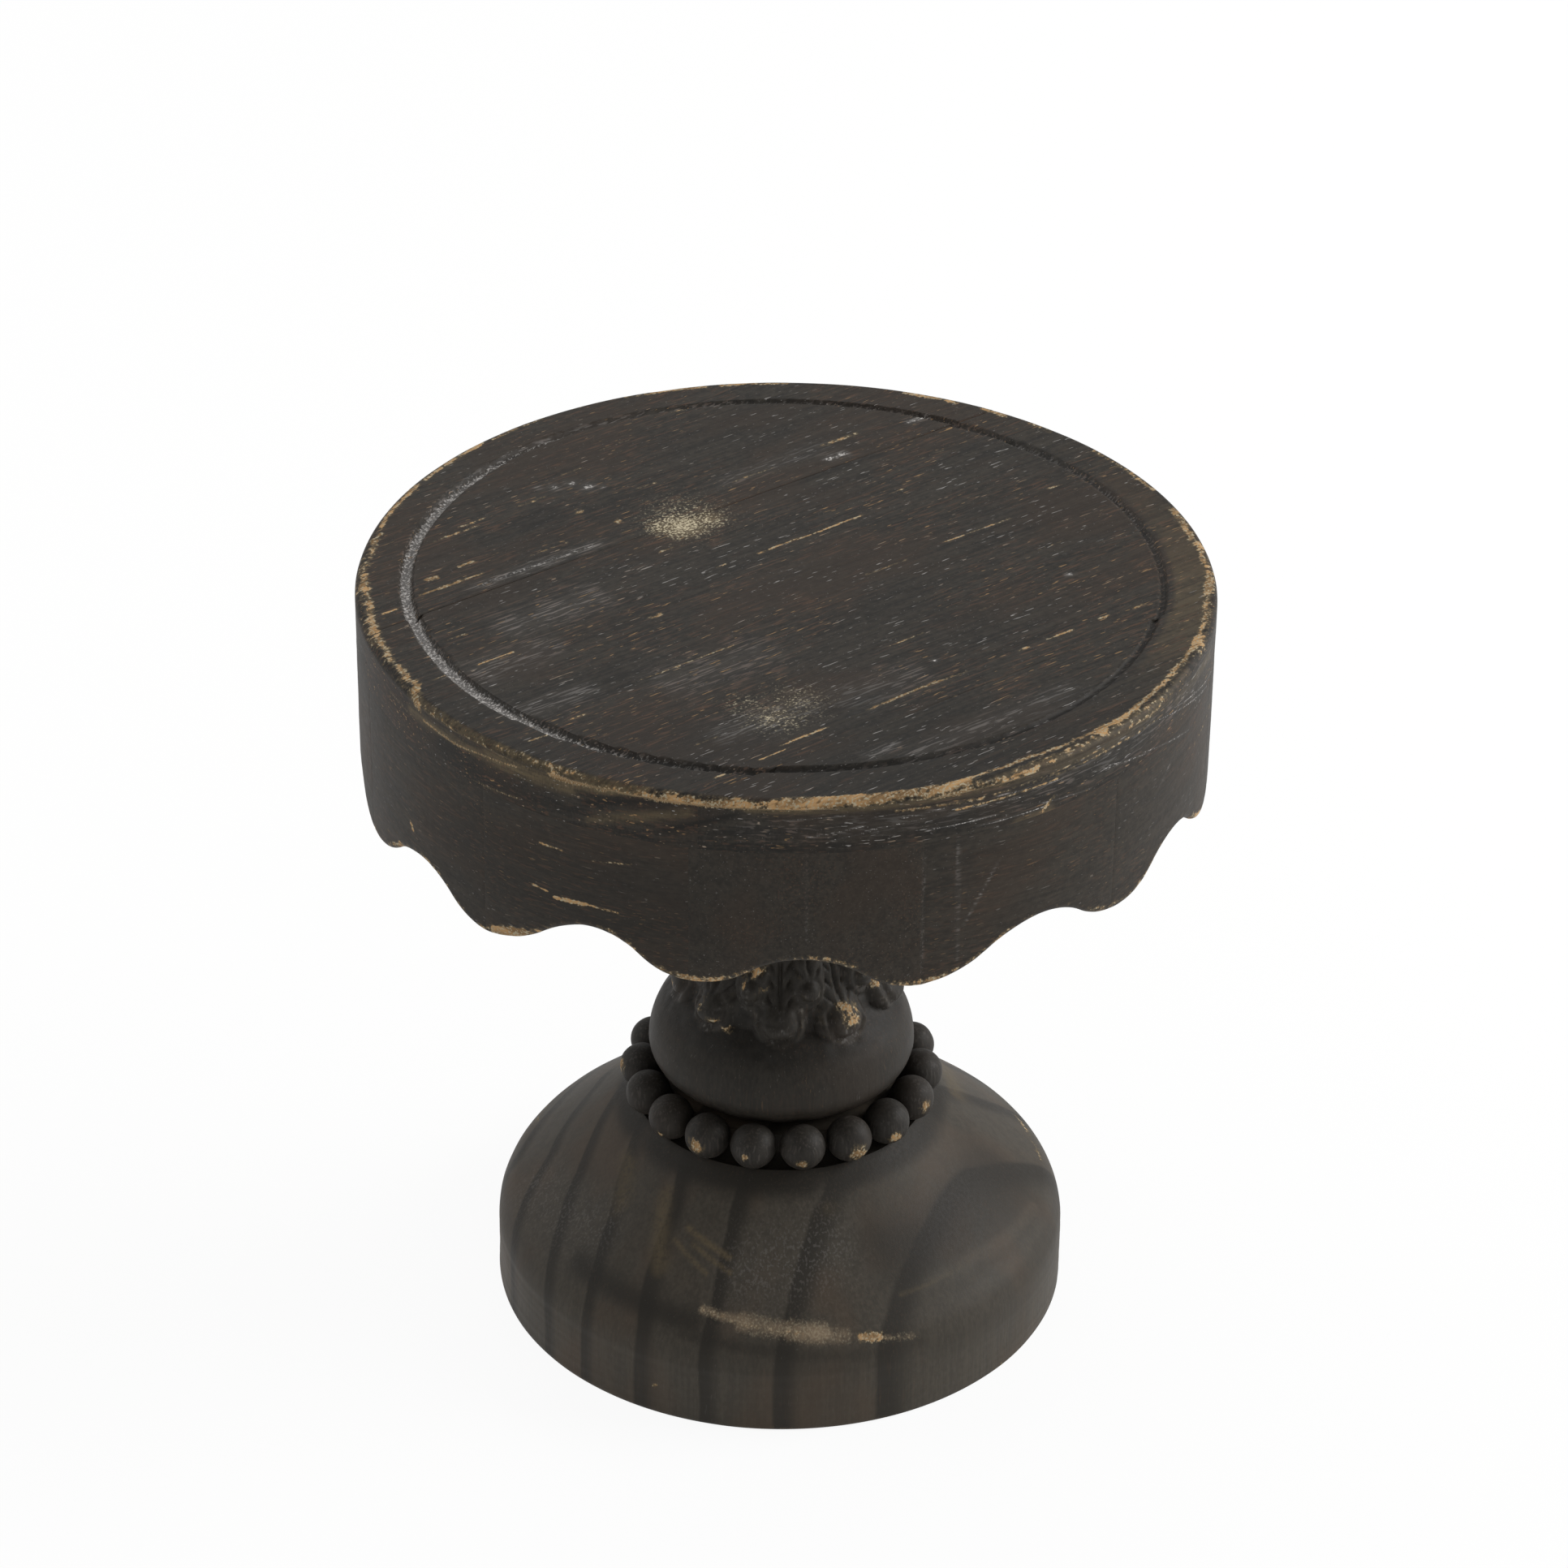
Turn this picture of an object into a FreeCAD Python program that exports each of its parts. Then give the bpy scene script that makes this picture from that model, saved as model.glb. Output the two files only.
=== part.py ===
"""Round wooden display riser on a turned pedestal.

A planked round top carries a scalloped apron made of glued segments. Below it stand a turned and carved
column, a ring of wooden beads and a turned foot. Lengths are in millimetres and angles in degrees, +Z is
up, the origin is the middle of the foot's underside and the front faces -Y.
"""
import FreeCAD
import Part
import math
import os

# Whole riser
TOP_DIAMETER = 150.0
OVERALL_HEIGHT = 146.5
SLIP_CLEARANCE = 0.15
CUT_OVERRUN = 4.0

# Top board: three planks glued edge to edge, with a ring groove turned in the face
BOARD_THICKNESS = 10.0
RIM_ROUNDING = 1.5
GRAIN_ANGLE = 38.0
FRONT_JOINT_OFFSET = 49.4
BACK_JOINT_OFFSET = 27.1
GROOVE_RADIUS = 65.6
GROOVE_WIDTH = 2.6
GROOVE_DEPTH = 1.2

# Apron: a ring of segments glued under the board, jointed at the lobes of its scallop
SEGMENT_COUNT = 12
FIRST_JOINT_ANGLE = 18.0
APRON_WALL = 12.0
LOBE_DROP = 36.4
SCALLOP_DEPTH = 6.4
SCALLOP_EDGE_ROUNDING = 1.2

# Foot: a drum, a rounded shoulder and a cone
FOOT_RADIUS = 52.5
FOOT_HEIGHT = 43.0
SHOULDER_HEIGHT = 16.6
SHOULDER_ROUNDING = 11.0
TOE_ROUNDING = 0.8
CONE_TOP_RADIUS = 22.35

# Bead ring, seated in a groove at the top of the cone
BEAD_COUNT = 18
FIRST_BEAD_ANGLE = 9.0
BEAD_RADIUS = 4.2
BEAD_RING_RADIUS = 25.5
BEAD_RISE = 0.2

# Column: tenon, bun, neck with a waist, and a flange under the board
TENON_RADIUS = 9.0
TENON_LENGTH = 14.0
TENON_END_ROOM = 0.5
BUN_RADIUS = 24.3
BUN_LOWER_HALF_HEIGHT = 10.8
BUN_UPPER_HALF_HEIGHT = 18.0
BUN_SEAT_RADIUS = 16.3
NECK_RADIUS = 14.5
WAIST_RADIUS = 11.5
FLANGE_RADIUS = 26.0
FLANGE_THICKNESS = 8.0

# Carved leaves round the neck, each an ellipsoid that leans out at its lower tip
LEAF_COUNT = 9
FIRST_LEAF_ANGLE = -2.0
LEAF_RING_RADIUS = 16.2
LEAF_RISE = 19.5
LEAF_HALF_DEPTH = 4.6
LEAF_HALF_WIDTH = 6.3
LEAF_HALF_LENGTH = 11.5
LEAF_LEAN = 22.0

# Foot screw and washer, in a counterbore under the foot
FOOT_SCREW_RADIUS = 2.5
FOOT_SCREW_HEAD_RADIUS = 4.6
FOOT_SCREW_HEAD_HEIGHT = 3.0
FOOT_SCREW_BITE = 30.0
WASHER_RADIUS = 6.5
WASHER_THICKNESS = 1.2
COUNTERBORE_RADIUS = 7.5
COUNTERBORE_DEPTH = 14.0

# Flange screws, up into the board
FLANGE_SCREW_COUNT = 3
FLANGE_SCREW_RADIUS = 1.6
FLANGE_SCREW_HEAD_RADIUS = 3.2
FLANGE_SCREW_HEAD_HEIGHT = 1.8
FLANGE_SCREW_RING_RADIUS = 20.5
FLANGE_SCREW_BITE_SHARE = 0.7

ORIGIN = FreeCAD.Vector(0, 0, 0)
UP = FreeCAD.Vector(0, 0, 1)
TANGENT = FreeCAD.Vector(0, 1, 0)
FULL_TURN = 360.0
FRONT_FROM_X = -90.0

TOP_RADIUS = TOP_DIAMETER / 2
BOARD_UNDERSIDE = OVERALL_HEIGHT - BOARD_THICKNESS
FLANGE_UNDERSIDE = BOARD_UNDERSIDE - FLANGE_THICKNESS
BEAD_HEIGHT = FOOT_HEIGHT + BEAD_RISE
BUN_SEAT_TURN = math.acos(BUN_SEAT_RADIUS / BUN_RADIUS)
BUN_HEIGHT = FOOT_HEIGHT + BUN_LOWER_HALF_HEIGHT * math.sin(BUN_SEAT_TURN)
LEAF_HEIGHT = BUN_HEIGHT + LEAF_RISE
TENON_BOTTOM = FOOT_HEIGHT - TENON_LENGTH
FOOT_SCREW_SEAT = COUNTERBORE_DEPTH - WASHER_THICKNESS
FOOT_SCREW_LENGTH = TENON_BOTTOM + FOOT_SCREW_BITE - FOOT_SCREW_SEAT
FLANGE_SCREW_LENGTH = FLANGE_THICKNESS + FLANGE_SCREW_BITE_SHARE * BOARD_THICKNESS


def point(radius, height):
    """A point of an outline in the XZ plane."""
    return FreeCAD.Vector(radius, 0, height)


def line(start, end):
    return Part.LineSegment(start, end).toShape()


def arc(start, middle, end):
    return Part.Arc(start, middle, end).toShape()


def lines(points):
    """Straight edges from each point to the next."""
    return [line(start, end) for start, end in zip(points, points[1:])]


def lathe(edges):
    """A solid turned about the riser's axis from a closed outline."""
    return Part.Face(Part.Wire(edges)).revolve(ORIGIN, UP, FULL_TURN)


def cylinder(radius, bottom, top):
    """An upright round bar on the riser's axis."""
    return Part.makeCylinder(radius, top - bottom, point(0, bottom))


def facing(shape, angle):
    """A copy of a shape built towards +X, turned to face an angle from the front, positive to the right."""
    copy = shape.copy()
    copy.rotate(ORIGIN, UP, FRONT_FROM_X + angle)
    return copy


def circle_angles(count, first):
    """Even angles round the riser."""
    return [first + index * FULL_TURN / count for index in range(count)]


def whole_board():
    """The round board before it is parted into planks: rounded rim, and a groove of round section."""
    rim_start = point(TOP_RADIUS, OVERALL_HEIGHT - RIM_ROUNDING)
    rim_end = point(TOP_RADIUS - RIM_ROUNDING, OVERALL_HEIGHT)
    diagonal = RIM_ROUNDING * math.cos(math.radians(45))
    rim_middle = point(TOP_RADIUS - RIM_ROUNDING + diagonal, OVERALL_HEIGHT - RIM_ROUNDING + diagonal)
    edges = lines([rim_end, point(0, OVERALL_HEIGHT), point(0, BOARD_UNDERSIDE),
                   point(TOP_RADIUS, BOARD_UNDERSIDE), rim_start])
    board = lathe(edges + [arc(rim_start, rim_middle, rim_end)])
    cutter_radius = ((GROOVE_WIDTH / 2) ** 2 + GROOVE_DEPTH ** 2) / (2 * GROOVE_DEPTH)
    cutter_height = OVERALL_HEIGHT - GROOVE_DEPTH + cutter_radius
    return board.cut(Part.makeTorus(GROOVE_RADIUS, cutter_radius, point(0, cutter_height)))


def plank(board, low, high):
    """The strip of the board between two offsets from its middle, square to the grain."""
    length = TOP_DIAMETER + 2 * CUT_OVERRUN
    corner = FreeCAD.Vector(-length / 2, low, BOARD_UNDERSIDE - CUT_OVERRUN)
    strip = Part.makeBox(length, high - low, BOARD_THICKNESS + 2 * CUT_OVERRUN, corner)
    strip.rotate(ORIGIN, UP, GRAIN_ANGLE)
    return board.common(strip)


def planks():
    """The three planks, the middle one drilled for the flange screws."""
    board = whole_board()
    outside = TOP_RADIUS + CUT_OVERRUN
    middle = plank(board, -FRONT_JOINT_OFFSET, BACK_JOINT_OFFSET)
    return {
        "top_plank_front": plank(board, -outside, -FRONT_JOINT_OFFSET),
        "top_plank_middle": middle.cut(flange_screw_holes()),
        "top_plank_back": plank(board, BACK_JOINT_OFFSET, outside),
    }


def scallop_edges(half_width, lobe, notch):
    """The S-curves of one scallop, lobe to notch to lobe, as equal arcs that meet at mid height.

    Each arc has radius (w^2 + d^2) / 4d for half width w and depth d, and is level at a lobe or a notch.
    """
    depth = notch - lobe
    radius = (half_width ** 2 + depth ** 2) / (4 * depth)
    half_turn = math.asin(half_width / (2 * radius)) / 2
    run = radius * math.sin(half_turn)
    rise = radius * (1 - math.cos(half_turn))
    middle = (lobe + notch) / 2

    def spot(across, height):
        return FreeCAD.Vector(0, across, height)

    left = spot(-half_width / 2, middle)
    right = spot(half_width / 2, middle)
    return [
        arc(spot(-half_width, lobe), spot(-half_width + run, lobe + rise), left),
        arc(left, spot(0, notch), right),
        arc(right, spot(half_width - run, lobe + rise), spot(half_width, lobe)),
    ]


def on_scallop(edge, notch):
    """Whether an edge of a segment lies on the apron's outer face, along the scallop."""
    ends = [math.hypot(vertex.X, vertex.Y) for vertex in edge.Vertexes]
    at_face = all(math.isclose(radius, TOP_RADIUS, rel_tol=1e-6) for radius in ends)
    return at_face and edge.BoundBox.Center.z < notch


def apron_segment():
    """One segment facing +X: a sector of the ring, its lower edge cut to the scallop and eased outside."""
    lobe = OVERALL_HEIGHT - LOBE_DROP
    notch = lobe + SCALLOP_DEPTH
    sweep = FULL_TURN / SEGMENT_COUNT
    half_width = TOP_RADIUS * math.sin(math.radians(sweep / 2))
    height = BOARD_UNDERSIDE - lobe
    sector = Part.makeCylinder(TOP_RADIUS, height, point(0, lobe), UP, sweep)
    sector.rotate(ORIGIN, UP, -sweep / 2)
    sector = sector.cut(cylinder(TOP_RADIUS - APRON_WALL, lobe - CUT_OVERRUN, BOARD_UNDERSIDE + CUT_OVERRUN))

    wide = half_width + CUT_OVERRUN
    low = lobe - CUT_OVERRUN
    below = lines([FreeCAD.Vector(0, half_width, lobe), FreeCAD.Vector(0, wide, lobe),
                   FreeCAD.Vector(0, wide, low), FreeCAD.Vector(0, -wide, low),
                   FreeCAD.Vector(0, -wide, lobe), FreeCAD.Vector(0, -half_width, lobe)])
    waste = Part.Face(Part.Wire(scallop_edges(half_width, lobe, notch) + below))
    segment = sector.cut(waste.extrude(point(TOP_RADIUS + CUT_OVERRUN, 0)))
    outer_edges = [edge for edge in segment.Edges if on_scallop(edge, notch)]
    return segment.makeFillet(SCALLOP_EDGE_ROUNDING, outer_edges)


def apron_segments():
    """The ring of segments, numbered from the first one right of the front."""
    segment = apron_segment()
    half_sweep = FULL_TURN / SEGMENT_COUNT / 2
    angles = circle_angles(SEGMENT_COUNT, FIRST_JOINT_ANGLE + half_sweep)
    return {f"apron_segment_{number:02d}": facing(segment, angle) for number, angle in enumerate(angles, 1)}


def foot():
    """The turned foot: bead seat and tenon socket on top, counterbored screw hole underneath."""
    slope = math.atan2(FOOT_HEIGHT - SHOULDER_HEIGHT, FOOT_RADIUS - CONE_TOP_RADIUS)
    turn = math.pi / 2 - slope
    tangent = SHOULDER_ROUNDING * math.tan(turn / 2)
    wall_end = point(FOOT_RADIUS, SHOULDER_HEIGHT - tangent)
    cone_start = point(FOOT_RADIUS - tangent * math.cos(slope), SHOULDER_HEIGHT + tangent * math.sin(slope))
    shoulder_middle = point(FOOT_RADIUS - SHOULDER_ROUNDING * (1 - math.cos(turn / 2)),
                            SHOULDER_HEIGHT - tangent + SHOULDER_ROUNDING * math.sin(turn / 2))
    cone_end = point(CONE_TOP_RADIUS, FOOT_HEIGHT)

    toe_start = point(FOOT_RADIUS - TOE_ROUNDING, 0)
    toe_end = point(FOOT_RADIUS, TOE_ROUNDING)
    diagonal = TOE_ROUNDING * math.cos(math.radians(45))
    toe_middle = point(FOOT_RADIUS - TOE_ROUNDING + diagonal, TOE_ROUNDING - diagonal)

    body = lathe([
        arc(toe_start, toe_middle, toe_end),
        line(toe_end, wall_end),
        arc(wall_end, shoulder_middle, cone_start),
        *lines([cone_start, cone_end, point(0, FOOT_HEIGHT), ORIGIN, toe_start]),
    ])
    bead_seat = Part.makeTorus(BEAD_RING_RADIUS, BEAD_RADIUS + SLIP_CLEARANCE, point(0, BEAD_HEIGHT))
    socket = cylinder(TENON_RADIUS + SLIP_CLEARANCE, TENON_BOTTOM - TENON_END_ROOM, FOOT_HEIGHT + CUT_OVERRUN)
    screw_hole = cylinder(FOOT_SCREW_RADIUS + SLIP_CLEARANCE, -CUT_OVERRUN, FOOT_HEIGHT)
    counterbore = cylinder(COUNTERBORE_RADIUS, -CUT_OVERRUN, COUNTERBORE_DEPTH)
    return body.cut(bead_seat).cut(socket).cut(screw_hole).cut(counterbore)


def beads():
    """The wooden balls of the bead ring."""
    bead = Part.makeSphere(BEAD_RADIUS, point(BEAD_RING_RADIUS, BEAD_HEIGHT))
    angles = circle_angles(BEAD_COUNT, FIRST_BEAD_ANGLE)
    return {f"bead_{number:02d}": facing(bead, angle) for number, angle in enumerate(angles, 1)}


def leaf():
    """One carved leaf facing +X: a unit ball stretched to the leaf's size, leant out at its lower tip."""
    stretch = FreeCAD.Matrix()
    stretch.scale(LEAF_HALF_DEPTH, LEAF_HALF_WIDTH, LEAF_HALF_LENGTH)
    shape = Part.makeSphere(1).transformGeometry(stretch)
    shape.rotate(ORIGIN, TANGENT, -LEAF_LEAN)
    shape.translate(point(LEAF_RING_RADIUS, LEAF_HEIGHT))
    return shape


def bun_section(half_height):
    """The ellipse that half of the bun follows, its longer axis level."""
    return Part.Ellipse(point(BUN_RADIUS, BUN_HEIGHT), point(0, BUN_HEIGHT + half_height), point(0, BUN_HEIGHT))


def column():
    """The column: tenon, bun of two arcs of ellipses, leaf collar, waisted neck and drilled flange."""
    bun_neck = math.acos(NECK_RADIUS / BUN_RADIUS)
    bun_start = point(BUN_SEAT_RADIUS, FOOT_HEIGHT)
    bun_end = point(NECK_RADIUS, BUN_HEIGHT + BUN_UPPER_HALF_HEIGHT * math.sin(bun_neck))
    collar_top = point(NECK_RADIUS, LEAF_HEIGHT + LEAF_HALF_LENGTH)
    waist = point(WAIST_RADIUS, (collar_top.z + FLANGE_UNDERSIDE) / 2)
    neck_top = point(NECK_RADIUS, FLANGE_UNDERSIDE)

    body = lathe([
        *lines([point(0, TENON_BOTTOM), point(TENON_RADIUS, TENON_BOTTOM), point(TENON_RADIUS, FOOT_HEIGHT),
                bun_start]),
        Part.ArcOfEllipse(bun_section(BUN_LOWER_HALF_HEIGHT), -BUN_SEAT_TURN, 0).toShape(),
        Part.ArcOfEllipse(bun_section(BUN_UPPER_HALF_HEIGHT), 0, bun_neck).toShape(),
        line(bun_end, collar_top),
        arc(collar_top, waist, neck_top),
        *lines([neck_top, point(FLANGE_RADIUS, FLANGE_UNDERSIDE), point(FLANGE_RADIUS, BOARD_UNDERSIDE),
                point(0, BOARD_UNDERSIDE), point(0, TENON_BOTTOM)]),
    ])
    pilot = cylinder(FOOT_SCREW_RADIUS + SLIP_CLEARANCE, TENON_BOTTOM - CUT_OVERRUN,
                     TENON_BOTTOM + FOOT_SCREW_BITE + SLIP_CLEARANCE)
    body = body.cut(pilot).cut(flange_screw_holes())
    leaves = [facing(leaf(), angle) for angle in circle_angles(LEAF_COUNT, FIRST_LEAF_ANGLE)]
    return body.fuse(leaves)


def screw(shank_radius, head_radius, head_height, length):
    """A domed wood screw on the riser's axis, point up, with the underside of its head at zero height."""
    dome_radius = (head_radius ** 2 + head_height ** 2) / (2 * head_height)
    half_turn = math.asin(head_radius / dome_radius) / 2
    dome_middle = point(dome_radius * math.sin(half_turn),
                        dome_radius * (1 - math.cos(half_turn)) - head_height)
    dome_end = point(head_radius, 0)
    dome_start = point(0, -head_height)
    taper = 2 * shank_radius
    return lathe([
        arc(dome_start, dome_middle, dome_end),
        *lines([dome_end, point(shank_radius, 0), point(shank_radius, length - taper), point(0, length),
                dome_start]),
    ])


def foot_screw():
    """The long screw that draws the column down on the foot."""
    shape = screw(FOOT_SCREW_RADIUS, FOOT_SCREW_HEAD_RADIUS, FOOT_SCREW_HEAD_HEIGHT, FOOT_SCREW_LENGTH)
    shape.translate(point(0, FOOT_SCREW_SEAT))
    return shape


def foot_washer():
    """The washer between the counterbore's end and the screw's head."""
    disc = cylinder(WASHER_RADIUS, FOOT_SCREW_SEAT, COUNTERBORE_DEPTH)
    return disc.cut(cylinder(FOOT_SCREW_RADIUS + SLIP_CLEARANCE, 0, FOOT_HEIGHT))


def round_flange(shape):
    """Copies of a shape at the flange screws' places."""
    shape.translate(point(FLANGE_SCREW_RING_RADIUS, 0))
    return Part.makeCompound([facing(shape, angle) for angle in circle_angles(FLANGE_SCREW_COUNT, 0)])


def flange_screws():
    """The short screws up through the flange into the board."""
    shape = screw(FLANGE_SCREW_RADIUS, FLANGE_SCREW_HEAD_RADIUS, FLANGE_SCREW_HEAD_HEIGHT, FLANGE_SCREW_LENGTH)
    shape.translate(point(0, FLANGE_UNDERSIDE))
    return round_flange(shape)


def flange_screw_holes():
    """Bars that cut the flange screws' holes."""
    hole_end = FLANGE_UNDERSIDE + FLANGE_SCREW_LENGTH + SLIP_CLEARANCE
    return round_flange(cylinder(FLANGE_SCREW_RADIUS + SLIP_CLEARANCE, FLANGE_UNDERSIDE - CUT_OVERRUN, hole_end))


def riser():
    """Every piece of the riser by name."""
    return {
        **planks(),
        **apron_segments(),
        "column": column(),
        **beads(),
        "foot": foot(),
        "foot_screw": foot_screw(),
        "foot_washer": foot_washer(),
        "flange_screws": flange_screws(),
    }


os.makedirs("parts", exist_ok=True)
for name, shape in riser().items():
    shape.exportStep(os.path.join("parts", name + ".step"))
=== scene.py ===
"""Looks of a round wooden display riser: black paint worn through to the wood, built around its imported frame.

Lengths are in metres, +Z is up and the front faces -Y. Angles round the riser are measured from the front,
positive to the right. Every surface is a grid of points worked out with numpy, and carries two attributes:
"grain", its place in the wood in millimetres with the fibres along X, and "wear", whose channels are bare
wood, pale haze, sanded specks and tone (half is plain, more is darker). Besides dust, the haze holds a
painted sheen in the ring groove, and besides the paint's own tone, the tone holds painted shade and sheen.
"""
import math

import bmesh
import bpy
import numpy as np
from bpy.props import FloatProperty, FloatVectorProperty, IntProperty, PointerProperty
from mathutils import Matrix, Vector


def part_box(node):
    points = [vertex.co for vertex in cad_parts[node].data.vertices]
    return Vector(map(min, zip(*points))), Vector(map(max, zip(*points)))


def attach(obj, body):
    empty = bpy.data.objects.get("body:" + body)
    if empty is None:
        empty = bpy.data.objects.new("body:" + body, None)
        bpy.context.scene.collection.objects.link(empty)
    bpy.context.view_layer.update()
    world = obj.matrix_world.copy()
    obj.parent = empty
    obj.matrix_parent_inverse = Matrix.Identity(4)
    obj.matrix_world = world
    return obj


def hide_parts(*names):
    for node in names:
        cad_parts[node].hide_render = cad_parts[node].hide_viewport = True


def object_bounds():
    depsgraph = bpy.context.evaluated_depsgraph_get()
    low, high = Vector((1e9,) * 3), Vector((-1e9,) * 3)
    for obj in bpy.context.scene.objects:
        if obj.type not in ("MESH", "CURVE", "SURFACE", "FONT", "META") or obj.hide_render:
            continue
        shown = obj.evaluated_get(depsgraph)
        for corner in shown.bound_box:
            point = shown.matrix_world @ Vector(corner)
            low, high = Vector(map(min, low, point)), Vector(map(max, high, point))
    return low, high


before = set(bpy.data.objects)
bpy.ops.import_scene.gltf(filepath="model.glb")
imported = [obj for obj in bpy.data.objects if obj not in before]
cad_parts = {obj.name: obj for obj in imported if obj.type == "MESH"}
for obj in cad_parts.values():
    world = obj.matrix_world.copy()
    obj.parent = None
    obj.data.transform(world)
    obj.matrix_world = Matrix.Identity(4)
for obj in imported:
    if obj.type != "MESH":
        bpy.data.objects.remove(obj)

bl_info = {
    "name": "Worn Display Riser",
    "version": (1, 0, 0),
    "blender": (4, 5, 0),
    "location": "View3D > Sidebar > Riser",
    "description": "Builds the worn paint and wood of a round display riser around its frame",
    "category": "Add Mesh",
}

MM = 0.001
FULL_TURN = 2 * math.pi
LATTICE = 64

# Sizes read from the frame
CAD_LOW, CAD_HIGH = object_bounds()
TOP_RADIUS = CAD_HIGH.x
TOP_HEIGHT = CAD_HIGH.z
BOARD_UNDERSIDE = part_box("top_plank_middle")[0].z
LOBE_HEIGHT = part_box("apron_segment_01")[0].z
COLUMN_LOW, COLUMN_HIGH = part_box("column")
FOOT_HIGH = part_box("foot")[1]
FOOT_RADIUS = FOOT_HIGH.x
SEGMENT_NODES = sorted(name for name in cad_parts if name.startswith("apron_segment_"))
BEAD_NODES = sorted(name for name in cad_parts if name.startswith("bead_"))
STEEL_NODES = ("foot_screw", "foot_washer", "flange_screws")

# Points of the grids: columns round a piece or along it, and rows down one stretch of an outline
FRONT_PLANK_GRID, MIDDLE_PLANK_GRID, BACK_PLANK_GRID = (232, 100), (271, 236), (320, 170)
ROUNDING_ROWS = 10
SEGMENT_COLUMNS, SEGMENT_SIDE_ROWS = 81, 76
COLUMN_COLUMNS, FOOT_COLUMNS = 400, 420
BALL_COLUMNS, BALL_ROWS = 48, 27
FLOOR_LINES = 9
SHARP_ANGLE = math.radians(50)

# Radii that turn angles into lengths: round the carved leaves, the column's wear and the foot's marks
LEAF_ROUND, WEAR_ROUND = 18.5 * MM, 19.5 * MM
SCUFF_ROUND, SHADE_ROUND, HAZE_ROUND = 49 * MM, 46 * MM, 42 * MM
# The leaf at the right that stands out most
PROUD_LEAF = 2
# Planks: the groove's shift across and away, how far the face has sunk, seed of the grain
PLANKS = {
    "front": ((-0.5 * MM, 0.9 * MM), 0.02 * MM, 3),
    "middle": ((0, 0), 0.06 * MM, 1),
    "back": ((-0.6 * MM, 0.7 * MM), 0, 2),
}
# The foot's growth rings, in millimetres: the tree's middle, the ring at the front, rings per millimetre,
# how fast they tighten, how far they wander and how strongly they show
FOOT_RINGS = {"pith": (128, -82), "middle": 144.5, "pace": 0.0765, "tightening": 0.00033, "wobble": 5.0,
              "strength": 0.85}
# Lamps: name, place, share of the lamps' power
LAMPS = (
    ("left_lamp", (-1.5, 0.4, 0.9), 0.5),
    ("right_lamp", (1.5, 0.2, 0.8), 2.55),
    ("back_lamp", (-0.2, 1.3, 1.5), 0.55),
)

# Shares round the top, as angles from the front in degrees and the share at each: how much of the ring
# groove's size is left, the dust and painted sheen in it (a smooth pale tone on the left), the painted shade
# in it (dark towards the front and right), and a painted sheen on the face outside it, strongest at the right
GROOVE_LEFT = ((-150, -115, -50, -25, 10, 50, 120, 150), (0.65, 1, 1, 0.8, 0.75, 0.55, 0.55, 0.65))
GROOVE_DUST_AND_SHEEN = ((-150, -115, -85, -60, -40, -20, 0, 90, 110, 150),
               (0.55, 0.9, 1.0, 1.1, 1.0, 0.5, 0.1, 0.1, 0.5, 0.2))
GROOVE_PAINTED_SHADE = ((-110, -50, -25, 40, 100, 150), (0, 0, 1.0, 0.8, 0.5, 0.5))
PAINTED_RIM_SHEEN = ((-130, -85, -40, 40, 85, 130), (0, 0.08, 0, 0, 0.5, 0.1))
# How far the scallop's cutting strayed, to the right and downwards in millimetres, at angles in degrees
SCALLOP_TURNS = (-130, -90, -72, -57, -42, -27, -12, 3, 18, 33, 48, 63, 78, 100)
SCALLOP_ASIDE = (0, 0, 1.4, 2.0, 0.3, 3.2, 0, 0, 0, 3.2, 2.6, 1.5, 0.5, 0)
SCALLOP_DOWN = (0, 1.6, 2.3, 2.2, 2.1, -0.4, 0.1, 1.3, 1.9, 0.4, 0, 0.3, 0.8, 0)

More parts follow.
